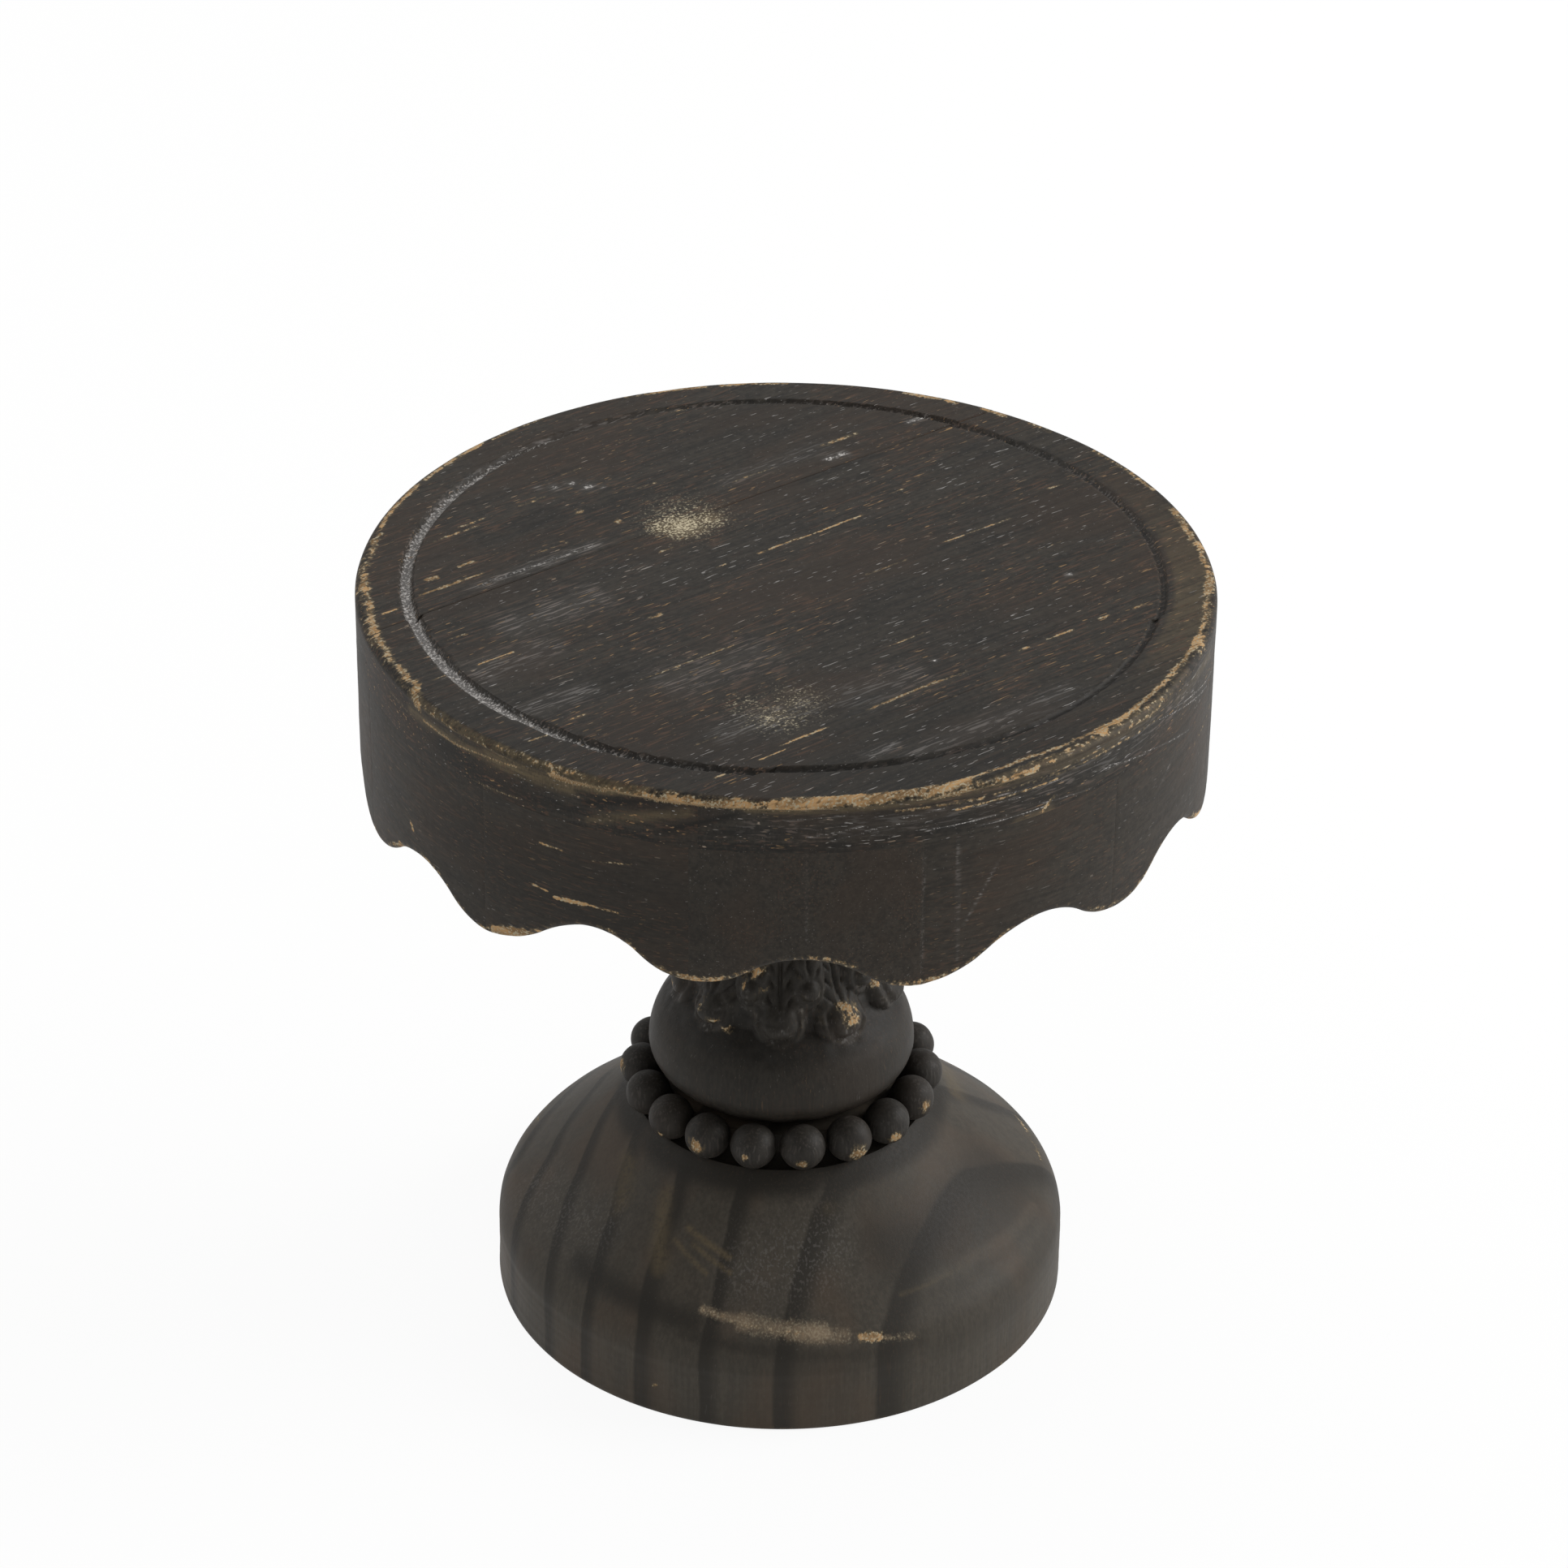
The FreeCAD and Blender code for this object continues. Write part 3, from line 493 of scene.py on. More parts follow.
def marks_round(angle, height, radius, places):
    """The strongest of marks on a round face, each straight between two angles and two heights.

    A mark fades by a bell of the distance from its line on the unrolled face. Widths and heights are in
    millimetres, and the radius turns angles into lengths.
    """
    found = np.zeros_like(angle)
    for first, last, first_height, last_height, width, strength in places:
        middle = math.radians(first + last) / 2
        run = math.radians(last - first) * radius / MM
        rise = last_height - first_height
        u = turn_between(angle, middle) * radius / MM
        v = height / MM - (first_height + last_height) / 2
        share = np.clip((u * run + v * rise) / (run ** 2 + rise ** 2), -0.5, 0.5)
        distance = np.hypot(u - share * run, v - share * rise)
        found = np.maximum(found, strength * bell(distance, width))
    return found


def shades_round(angle, height, radius, places):
    """Tone on a round face: the strongest darkening mark less the strongest lightening one."""
    dark = marks_round(angle, height, radius, [place for place in places if place[-1] > 0])
    lighter = [(*place[:-1], -place[-1]) for place in places if place[-1] < 0]
    return dark - marks_round(angle, height, radius, lighter)


def side_wear(angle, drop):
    """Bare wood, haze and tone of the riser's side, by angle from the front and drop below the top."""
    bare = marks_round(angle, drop, TOP_RADIUS, SIDE_STREAKS)
    haze = marks_round(angle, drop, TOP_RADIUS, SIDE_HAZE + SIDE_SCRATCHES)
    # The tone holds painted shade on the front left and a painted sheen on the far right, with the paint's tone
    return bare, haze, shades_round(angle, drop, TOP_RADIUS, SIDE_TONES_AND_PAINTED_LIGHT)


def wear_channels(bare, haze=None, sanded=None, tone=None):
    """The four wear channels side by side, with plain ones filled in."""
    plain = np.zeros_like(bare)
    half = np.full_like(bare, 0.5)
    return np.stack([bare, plain if haze is None else haze, plain if sanded is None else sanded,
                     half if tone is None else np.clip(half + tone / 2, 0, 1)], -1)


# Meshes from grids

def grid_quads(rows, columns, close_rows=False, close_columns=False):
    """Corner numbers of the quads between the points of a grid, which are numbered row by row."""
    row, column = np.meshgrid(np.arange(rows if close_rows else rows - 1),
                              np.arange(columns if close_columns else columns - 1), indexing="ij")
    next_row, next_column = (row + 1) % rows, (column + 1) % columns
    corners = [row * columns + column, row * columns + next_column,
               next_row * columns + next_column, next_row * columns + column]
    return np.stack(corners, -1).reshape(-1, 4)


def weld(mesh, reach=1e-7):
    """Merges the points that a grid repeats at its poles and corners, and turns every face outwards."""
    work = bmesh.new()
    work.from_mesh(mesh)
    bmesh.ops.remove_doubles(work, verts=work.verts, dist=reach)
    bmesh.ops.recalc_face_normals(work, faces=work.faces)
    work.to_mesh(mesh)
    work.free()


def make_piece(name, points, faces, grain, wear, material, node):
    """Makes a finished piece of the riser that stands for a node of the frame."""
    mesh = bpy.data.meshes.new(name)
    mesh.from_pydata(points.reshape(-1, 3), [], faces)
    mesh.attributes.new("grain", "FLOAT_VECTOR", "POINT").data.foreach_set("vector", (grain / MM).ravel())
    mesh.attributes.new("wear", "FLOAT_COLOR", "POINT").data.foreach_set("color", wear.ravel())
    weld(mesh)
    mesh.shade_smooth()
    mesh.set_sharp_from_angle(angle=SHARP_ANGLE)
    mesh.materials.append(material)
    piece = bpy.data.objects.new(name, mesh)
    bpy.context.scene.collection.objects.link(piece)
    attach(piece, "root")
    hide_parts(node)


# Materials

class Shader:
    """A material whose nodes are added by name, with sockets linked and plain values set."""

    def __init__(self, name):
        self.material = bpy.data.materials.new(name)
        self.material.use_nodes = True
        self.tree = self.material.node_tree
        self.surface = self.tree.nodes["Principled BSDF"]

    def put(self, socket, value):
        """Links a socket to another one, or sets its plain value."""
        if isinstance(value, bpy.types.NodeSocket):
            self.tree.links.new(value, socket)
        else:
            socket.default_value = value

    def add(self, kind, *values, **settings):
        """A new node, with its first inputs filled in order."""
        made = self.tree.nodes.new("ShaderNode" + kind)
        for name, value in settings.items():
            setattr(made, name, value)
        for socket, value in zip(made.inputs, values):
            self.put(socket, value)
        return made

    def attribute(self, name):
        """A node that reads one of the piece's attributes."""
        return self.add("Attribute", attribute_name=name)

    def math(self, operation, *values):
        """The result of one sum."""
        return self.add("Math", *values, operation=operation).outputs[0]

    def times(self, first, second):
        """The product of two values."""
        return self.math("MULTIPLY", first, second)

    def most(self, first, second):
        """The larger of two values."""
        return self.math("MAXIMUM", first, second)

    def off(self, noise, share):
        """A noise's departure from its middle, times a share."""
        return self.math("MULTIPLY_ADD", noise, share, -share / 2)

    def stretch(self, place, scale, shift=(0, 0, 0)):
        """A place moved and then stretched along each axis."""
        moved = self.add("VectorMath", place, shift, operation="ADD").outputs[0]
        return self.add("VectorMath", moved, scale, operation="MULTIPLY").outputs[0]

    def noise(self, place, scale, detail=3.0, shift=(0, 0, 0)):
        """Noise whose features are one over the scale long on each axis, in millimetres."""
        made = self.add("TexNoise")
        self.put(made.inputs["Vector"], self.stretch(place, scale, shift))
        made.inputs["Scale"].default_value = 1.0
        made.inputs["Detail"].default_value = detail
        return made.outputs[0]

    def step(self, value, low, high):
        """A share that rises smoothly from 0 at low to 1 at high, either way round."""
        return self.add("MapRange", value, low, high, 0.0, 1.0, interpolation_type="SMOOTHSTEP").outputs[0]

    def mix(self, share, first, second):
        """A colour between two."""
        made = self.add("Mix", data_type="RGBA")
        for index, value in ((0, share), (6, first), (7, second)):
            self.put(made.inputs[index], value)
        return made.outputs[2]

    def bump(self, height, strength, distance):
        """A normal tilted by fine relief."""
        made = self.add("Bump")
        made.inputs["Strength"].default_value = strength
        made.inputs["Distance"].default_value = distance
        self.put(made.inputs["Height"], height)
        return made.outputs["Normal"]


def tint(colour, share=1.0):
    """A colour made lighter or darker, with full alpha."""
    return (*(min(1.0, channel * share) for channel in colour), 1.0)


def growth_rings(shader, place, settings):
    """Dark latewood lines: a saw of the distance from the tree's middle, bent by noise.

    The rings' count at a distance d from the pith is pace * d' + tightening * d'^2, where d' is measured
    from the ring through the front of the foot.
    """
    apart = shader.stretch(place, (0, 1, 1), (0, -settings["pith"][0], -settings["pith"][1]))
    distance = shader.add("VectorMath", apart, operation="LENGTH").outputs["Value"]
    wobble = shader.noise(place, (0.02, 0.05, 0.05), 2.0)
    wobble = shader.math("SUBTRACT", shader.off(wobble, settings["wobble"]), settings["middle"])
    bent = shader.math("ADD", distance, wobble)
    square = shader.times(bent, bent)
    tightened = shader.times(square, settings["tightening"])
    count = shader.math("ADD", shader.times(bent, settings["pace"]), tightened)
    saw = shader.math("FRACT", shader.math("ADD", count, 0.5))
    rise = shader.step(saw, 0.22, 0.46)
    fall = shader.step(saw, 0.60, 0.54)
    return shader.times(rise, fall)


def worn_paint(name, paint, finish, streak_share=1.0, warmth=0.5, contrast=1.0, strays=0.5, nicks=0.8,
               grit=1.0, relief=0.55, scuffed=None, rings=None):
    """Satin paint brushed along the grain and rubbed through to the wood.

    Fine noise stretched along the fibres darkens and lightens the paint, and clouds warm it. The tone channel
    darkens it or thins it to olive, stained grain shows in dashes, and haze lies in the grain. Bare wood
    shows where the wear channel and ragged noise together pass a level. Sanded places are smeared with the
    scuffed colour under pale grit.
    """
    shader = Shader(name)
    place = shader.attribute("grain").outputs["Vector"]
    wear = shader.attribute("wear")
    bare, haze, sanded = shader.add("SeparateColor", wear.outputs["Color"]).outputs[:3]
    tone = wear.outputs["Alpha"]
    fine = shader.noise(place, (0.07, 1.7, 1.7), 5.0)
    band = shader.noise(place, (0.02, 0.42, 0.42), 3.0, (31, 7, 3))
    cloud = shader.noise(place, (0.035, 0.06, 0.06), 2.0, (5, 11, 17))
    speck = shader.noise(place, (2.2, 2.6, 2.6), 2.0, (2, 3, 5))
    dash = shader.noise(place, (0.22, 2.2, 2.2), 2.0, (13, 29, 41))
    mottle = shader.noise(place, (0.8, 1.2, 1.2), 4.0, (43, 3, 9))
    patch = shader.noise(place, (0.03, 0.08, 0.08), 2.0, (71, 19, 23))
    nick = shader.noise(place, (0.34, 2.8, 2.8), 1.0, (57, 61, 67))

    depth = shader.math("MULTIPLY_ADD", fine, 0.45, shader.times(band, 0.25))
    depth = shader.math("MULTIPLY_ADD", mottle, 0.30, depth)
    colour = shader.mix(shader.step(depth, 0.38, 0.62), tint(paint, 1 - 0.5 * contrast),
                        tint(paint, 1 + 0.6 * contrast))
    warm = tint((paint[0] * 1.3, paint[1] * 0.98, paint[2] * 0.8), 1.12)
    colour = shader.mix(shader.times(shader.step(cloud, 0.45, 0.65), warmth), colour, warm)
    if rings:
        lines = growth_rings(shader, place, rings)
        colour = shader.mix(shader.times(lines, rings["strength"]), colour, tint(paint, 0.38))
    # Tone above half darkens the paint: real tone, and painted shade in the groove, towards the front, between
    # the leaves, under the balls and on the foot's right
    colour = shader.mix(shader.step(tone, 0.5, 1.0), colour, tint(paint, 0.36))
    ragged = shader.math("MULTIPLY_ADD", shader.step(depth, 0.36, 0.56), 0.6, 0.4)
    # Tone below half thins the paint to olive: real thin paint, and painted sheen and highlight on the top's
    # right, the far right side and the leaves' edges
    thinned = shader.times(shader.step(tone, 0.5, 0.0), ragged)
    colour = shader.mix(thinned, colour, tint(finish.thin_paint))
    stain = shader.times(shader.step(dash, 0.55, 0.66), shader.step(patch, 0.36, 0.60))
    colour = shader.mix(shader.times(stain, 0.75 * streak_share), colour, tint(finish.red_grain))

    thick = shader.step(haze, 0.45, 0.75)
    grains = shader.times(shader.step(speck, 0.54, 0.64), thick)
    grains = shader.most(shader.step(dash, 0.53, 0.62), grains)
    dust = shader.times(shader.math("MULTIPLY_ADD", grains, 0.88, 0.12), haze)
    # Where the haze is thick it lies as a smooth pale tone; in the groove's left this is painted sheen as well
    # as dust
    dust = shader.most(dust, shader.times(shader.step(haze, 0.6, 1.0), 0.7))
    stray = shader.times(shader.step(speck, 0.70, 0.76), strays)
    pale = shader.mix(shader.times(shader.step(speck, 0.46, 0.64), thick), tint(finish.haze),
                      tint(finish.haze, 3.0))
    colour = shader.mix(shader.most(dust, stray), colour, pale)
    nicked = shader.times(shader.step(nick, 0.70, 0.75), nicks)
    scored = shader.mix(shader.step(patch, 0.44, 0.54), tint(finish.haze, 1.3), tint(finish.bare_wood, 0.8))
    colour = shader.mix(nicked, colour, scored)

    rub = shader.math("ADD", bare, shader.math("ADD", shader.off(fine, 0.7), shader.off(mottle, 1.6)))
    rub = shader.math("ADD", rub, shader.off(speck, 0.9))
    rubbed = shader.times(shader.step(rub, 0.60, 0.78), shader.step(bare, 0.06, 0.26))
    halo = shader.times(shader.step(rub, 0.28, 0.60), shader.step(bare, 0.05, 0.30))
    colour = shader.mix(shader.times(halo, 0.6), colour, tint(finish.thin_paint, 0.9))
    wood = shader.mix(shader.step(band, 0.40, 0.60), tint(finish.bare_wood, 0.55),
                      tint(finish.bare_wood, 1.2))
    wood = shader.mix(shader.step(speck, 0.48, 0.66), wood, tint(finish.pale_wood, 0.85))
    wood = shader.mix(shader.step(fine, 0.46, 0.32), wood, tint(finish.bare_wood, 0.45))
    colour = shader.mix(rubbed, colour, wood)
    gritty = shader.math("MULTIPLY_ADD", sanded, 0.22, speck)
    clean = shader.times(shader.step(gritty, 0.58, 0.80), shader.step(sanded, 0.03, 0.4))
    clean = shader.times(clean, grit)
    smear = shader.math("ADD", sanded, shader.math("ADD", shader.off(mottle, 0.6), shader.off(cloud, 0.6)))
    smeared = shader.times(shader.step(smear, 0.1, 1.0), shader.step(sanded, 0.05, 0.35))
    smudge = tint(scuffed) if scuffed else tint(finish.thin_paint, 1.2)
    colour = shader.mix(shader.times(smeared, 0.8), colour, smudge)
    colour = shader.mix(clean, colour, tint(finish.pale_wood, 1.2))

    bared = shader.most(rubbed, clean)
    roughness = shader.math("MULTIPLY_ADD", fine, 0.22, 0.49)
    roughness = shader.math("MULTIPLY_ADD", bared, 0.2, roughness)
    height = shader.math("MULTIPLY_ADD", fine, 0.55, shader.times(band, 0.35))
    height = shader.math("MULTIPLY_ADD", speck, 0.25, height)
    height = shader.math("MULTIPLY_ADD", bared, -0.1, height)
    shader.put(shader.surface.inputs["Base Color"], colour)
    shader.put(shader.surface.inputs["Roughness"], roughness)
    shader.put(shader.surface.inputs["Normal"], shader.bump(height, relief, 0.16 * MM))
    shader.surface.inputs["Specular IOR Level"].default_value = 0.2
    return shader.material


def zinc_steel():
    """Zinc-plated steel: grey metal, a little cloudy and rough."""
    shader = Shader("zinc_steel")
    place = shader.stretch(shader.add("TexCoord").outputs["Object"], (1 / MM,) * 3)
    cloud = shader.noise(place, (0.5, 0.5, 0.5), 3.0)
    scratch = shader.noise(place, (3, 3, 0.3), 2.0)
    colour = shader.mix(shader.step(cloud, 0.35, 0.65), (0.42, 0.42, 0.40, 1), (0.58, 0.58, 0.56, 1))
    shader.put(shader.surface.inputs["Base Color"], colour)
    roughness = shader.add("MapRange", cloud, 0.0, 1.0, 0.28, 0.5).outputs[0]
    shader.put(shader.surface.inputs["Roughness"], roughness)
    shader.surface.inputs["Metallic"].default_value = 1.0
    shader.put(shader.surface.inputs["Normal"], shader.bump(scratch, 0.2, 0.05 * MM))
    return shader.material


# The planked top

class Board:
    """The board's surface: height of the face, wear and place in the wood, for points of any plank."""

    def __init__(self, settings):
        self.settings = settings
        self.cosine, self.sine = math.cos(settings.grain_angle), math.sin(settings.grain_angle)

    def plan(self, along, across):
        """X and Y of a place given along and across the grain."""
        return along * self.cosine - across * self.sine, along * self.sine + across * self.cosine

    def face_drop(self, along, across, groove_shift, sink, seed):
        """How far the face lies below the top: round groove, V joints, raised grain, worn spots and sink."""
        settings = self.settings
        x, y = self.plan(along, across)
        share = share_round(from_front(x, y), GROOVE_LEFT)
        half, deep = settings.groove_width / 2 * share, settings.groove_depth * share
        cutter = (half ** 2 + deep ** 2) / (2 * deep)
        ragged = 0.08 * MM * smooth_noise(along / (0.9 * MM), across / (0.8 * MM), seed + 1)
        ring = np.hypot(x - groove_shift[0], y - groove_shift[1]) - settings.groove_radius + ragged
        groove = np.maximum(np.sqrt(np.maximum(cutter ** 2 - ring ** 2, 0)) - (cutter - deep), 0)
        joint = np.minimum(np.abs(across + settings.front_joint), np.abs(across - settings.back_joint))
        gap = 0.09 * MM * bell(joint, 0.2 * MM)
        raised = smooth_noise(along / (22 * MM), across / (0.8 * MM), seed)
        raised = raised + 0.7 * smooth_noise(along / (9 * MM), across / (2.6 * MM), seed + 2)
        raised = raised * smooth_step(TOP_RADIUS - np.hypot(x, y), 1.0 * MM, 4.5 * MM)
        worn = spots(x, y, SANDED_SPOTS) * 0.12 * MM
        return groove + gap + sink + settings.grain_relief * (1.7 - raised) / 2 + worn

    def rim_wear(self, angle, inward, drop):
        """Bare wood round the rim: a thin line all round and the marks of the table, with ragged edges.

        Marks are placed by their offset along the rim's outline from the middle of its rounding, on to the
        face above zero and down the side below it.
        """
        rounding = self.settings.rim_rounding
        middle = 0.6 * rounding
        over_edge = np.where(inward >= rounding, inward - middle, 0.4 * (inward - drop))
        offset = np.where(drop >= rounding, middle - drop, over_edge)
        ragged = rim_noise(angle, offset, 2.6, 2, 91) + 0.2 * rim_noise(angle, offset, 0.8, 1, 93)
        broad = rim_noise(angle, offset, 4.5, 3, 92)
        line = (0.40 + 0.30 * broad) * bell(offset, 0.5 * MM)
        marks = marks_round(angle, offset + 0.26 * MM * ragged, TOP_RADIUS, RIM_MARKS)
        return np.maximum(line, marks * (0.92 + 0.3 * broad))

    def wear(self, along, across, drop, groove_shift):
        """Wear channels of points of the board, given how far each lies below the top."""
        settings = self.settings
        x, y = self.plan(along, across)
        distance, angle = np.hypot(x, y), from_front(x, y)
        inward = TOP_RADIUS - distance
        on_top = smooth_step(drop, settings.groove_depth + 0.4 * MM, settings.groove_depth)
        wander = 0.22 * MM * smooth_noise(along / (7 * MM), across / (5 * MM), 15)
        bare = streaks(along, across + wander, self.cosine, self.sine, TOP_STREAKS) * on_top
        bare = np.maximum(bare, self.rim_wear(angle, inward, drop))
        at_side = smooth_step(inward, 1.4 * MM, 0.6 * MM)
        side_bare, side_haze, side_tone_and_painted_light = side_wear(angle, drop)
        bare = np.maximum(bare, at_side * side_bare)
        ring = np.hypot(x - groove_shift[0], y - groove_shift[1]) - settings.groove_radius
        in_groove = np.exp(-(ring / (1.15 * MM * share_round(angle, GROOVE_LEFT))) ** 4)
        haze = streaks(along, across, self.cosine, self.sine, TOP_HAZE) * on_top
        haze = np.maximum(haze, spots(x, y, PALE_FLECKS))
        # In the groove the haze is dust and, on the left, a painted sheen as well
        haze = np.maximum(haze, in_groove * share_round(angle, GROOVE_DUST_AND_SHEEN))
        haze = np.maximum(haze, at_side * side_haze)
        # Painted sheen: the paint on the face outside the groove is thinned, most at the right
        sheen = share_round(angle, PAINTED_RIM_SHEEN) * smooth_step(ring, 1 * MM, 2.5 * MM)
        # Painted shade: the top is darkened towards the front
        painted_front_shade = 0.36 * smooth_step(y, -20 * MM, -62 * MM)
        # Painted shade in the groove and towards the front darkens the tone, and the painted sheen lightens it
        tone = np.maximum(in_groove * share_round(angle, GROOVE_PAINTED_SHADE), painted_front_shade) - sheen
        # On the side the tone comes from the side's marks, painted shade and sheen among them
        tone = np.where(at_side > 0, at_side * side_tone_and_painted_light, tone)
        return wear_channels(bare, haze, spots(x, y, SANDED_SPOTS) * on_top, tone)


def end_plank_grid(board, joint, side, columns, flat_rows):
    """A plank between a straight joint and the rim: a closed outline carried from corner to corner.

    Columns stand at even steps of the rim's arc. In each, the outline goes out over the face, round the rim
    by equal turns of its rounding, down the side, back under the board and up the joint.
    """
    radius, rounding = TOP_RADIUS, board.settings.rim_rounding
    half_turn = math.acos(joint / radius)
    along = radius * np.sin(np.linspace(-half_turn, half_turn, columns))
    edge = np.sqrt(np.maximum(radius ** 2 - along ** 2, joint ** 2))
    start = np.maximum(np.hypot(along, joint), radius - rounding)
    first = np.arcsin(np.clip((start - radius + rounding) / rounding, 0, 1))
    flat_end = np.sqrt(np.maximum(start ** 2 - along ** 2, joint ** 2))
    share = np.linspace(0, 1, flat_rows)[:, None]
    flat = joint + share * (flat_end - joint)
    flat_drop = rounding * (1 - np.cos(first)) + 0 * flat
    turn = first + np.linspace(0, 1, ROUNDING_ROWS)[1:, None] * (math.pi / 2 - first)
    rim = np.sqrt(np.maximum((radius - rounding + rounding * np.sin(turn)) ** 2 - along ** 2, joint ** 2))
    rim_drop = rounding * (1 - np.cos(turn))
    depth = TOP_HEIGHT - BOARD_UNDERSIDE
    wall_drop = (rounding + np.linspace(0, 1, 41)[1:, None] * (depth - rounding)) + 0 * along
    wall = edge + 0 * wall_drop
    under = edge + np.linspace(0, 1, 7)[1:, None] * (joint - edge)
    under_drop = depth + 0 * under
    joint_rows = np.linspace(1, 0, 7)[1:-1, None]
    face = joint + 0 * joint_rows + 0 * along
    face_drop = flat_drop[:1] + joint_rows * (depth - flat_drop[:1])
    across = side * np.concatenate([flat, rim, wall, under, face])
    drop = np.concatenate([flat_drop, rim_drop, wall_drop, under_drop, face_drop])
    top_rows = np.zeros(len(across), bool)
    top_rows[:flat_rows + ROUNDING_ROWS - 1] = True
    return np.broadcast_to(along, across.shape), across, drop, top_rows, []


def middle_plank_grid(board, front, back, columns, flat_rows):
    """A plank between two joints: the section along the grain, from rim to rim, carried across the board."""
    radius, rounding = TOP_RADIUS, board.settings.rim_rounding
    across = np.linspace(-front, back, columns)
    depth = TOP_HEIGHT - BOARD_UNDERSIDE
    turn = np.linspace(0, math.pi / 2, ROUNDING_ROWS)[:, None]
    rim = np.sqrt((radius - rounding + rounding * np.sin(turn)) ** 2 - across ** 2)
    rim_drop = rounding * (1 - np.cos(turn)) + 0 * rim
    wall_drop = rounding + np.linspace(0, 1, 31)[1:, None] * (depth - rounding) + 0 * across
    wall = rim[-1:] + 0 * wall_drop
    flat = np.linspace(-1, 1, flat_rows)[1:-1, None] * rim[:1]
    under = np.linspace(1, -1, 9)[1:-1, None] * rim[-1:]
    along = np.concatenate([-wall[::-1], -rim[::-1], flat, rim, wall, under])
    under_drop = depth + 0 * under
    drop = np.concatenate([wall_drop[::-1], rim_drop[::-1], 0 * flat, rim_drop, wall_drop, under_drop])
    top_rows = np.zeros(len(along), bool)
    top_rows[len(wall):len(wall) + 2 * len(rim) + len(flat)] = True
    rows = np.arange(len(along)) * columns
    return along, np.broadcast_to(across, along.shape), drop, top_rows, [rows, rows + columns - 1]


def make_plank(name, board, grid, facing, material):
    """Makes a plank from its grid: relief on the face, shallow hollows in the side, wear and wood grain.

    The grain of the side is unrolled from the angle that the plank faces, and is packed up to three times
    tighter where the fibres end in it.
    """
    along, across, drop, top_rows, caps = grid
    groove_shift, sink, seed = PLANKS[name]
    relief = board.face_drop(along, across, groove_shift, sink, seed)
    rounding = board.settings.rim_rounding
    inward = TOP_RADIUS - np.hypot(along, across)
    fade = smooth_step(drop, rounding, 0)
    total = np.where(top_rows[:, None], drop + relief * fade, drop)
    wear = board.wear(along, across, total, groove_shift)
    angle = from_front(*board.plan(along, across))
    unrolled = facing + turn_between(angle, facing)
    hollow = 0.5 + 0.5 * rim_noise(angle, drop, 7, 5, 44)
    chip = (0.5 + 0.5 * rim_noise(angle, drop, 3, 2, 45)) * np.clip(wear[..., 0] - 0.55, 0, 1)
    near_edge = smooth_step(inward, 2.5 * MM, 0.5 * MM)
    shrink = 1 - near_edge * (0.07 * MM * hollow + 0.20 * MM * chip) / TOP_RADIUS
    x, y = board.plan(along * shrink, across * shrink)
    points = np.stack([x, y, TOP_HEIGHT - total - near_edge * fade * 0.1 * MM * chip], -1)
    round_rim = TOP_RADIUS * (2.2 * unrolled - 0.6 * np.sin(2 * (unrolled - board.settings.grain_angle)))
    at_side = (inward < 0.1 * MM) & (drop > rounding)
    grain = np.where(at_side[..., None], np.stack([round_rim, 0 * drop, drop], -1),
                     np.stack([along, across, total], -1)) + seed * 37 * MM
    faces = grid_quads(*along.shape, close_rows=True).tolist() + [cap.tolist() for cap in caps]
    make_piece("plank_" + name, points, faces, grain, wear, material, "top_plank_" + name)


# The scalloped apron

def scallop_height(across, half_width, depth):
    """Height of the scallop's edge over its lobes: equal arcs, level at lobes and notch, that meet halfway.

    For half width w and depth d, each arc's radius is (w^2 + d^2) / 4d.
    """
    radius = (half_width ** 2 + depth ** 2) / (4 * depth)
    offset = np.abs(across)
    from_lobe = half_width - offset
    low = radius - np.sqrt(np.maximum(radius ** 2 - from_lobe ** 2, 0))
    high = depth - radius + np.sqrt(np.maximum(radius ** 2 - offset ** 2, 0))
    return np.where(offset > half_width / 2, low, high)


def scallop_slip(angle):
    """How far the cutting strayed, in metres: along the rim to the right, and downwards."""
    aside = share_round(angle, (SCALLOP_TURNS, SCALLOP_ASIDE))
    down = share_round(angle, (SCALLOP_TURNS, SCALLOP_DOWN))
    return aside * MM, down * MM


def scallop_edge_strength(angle):
    """How bare the scallop's edge is at an angle: a thin line all round, and the table's lobes."""
    strength = 0.46 + 0.24 * rim_noise(angle, 0 * angle, 6, 1, 61)
    for middle, spread, most in SCALLOP_WEAR:
        turn = np.degrees(turn_between(angle, math.radians(middle)))
        strength = np.maximum(strength, most * bell(turn, spread))
    return strength


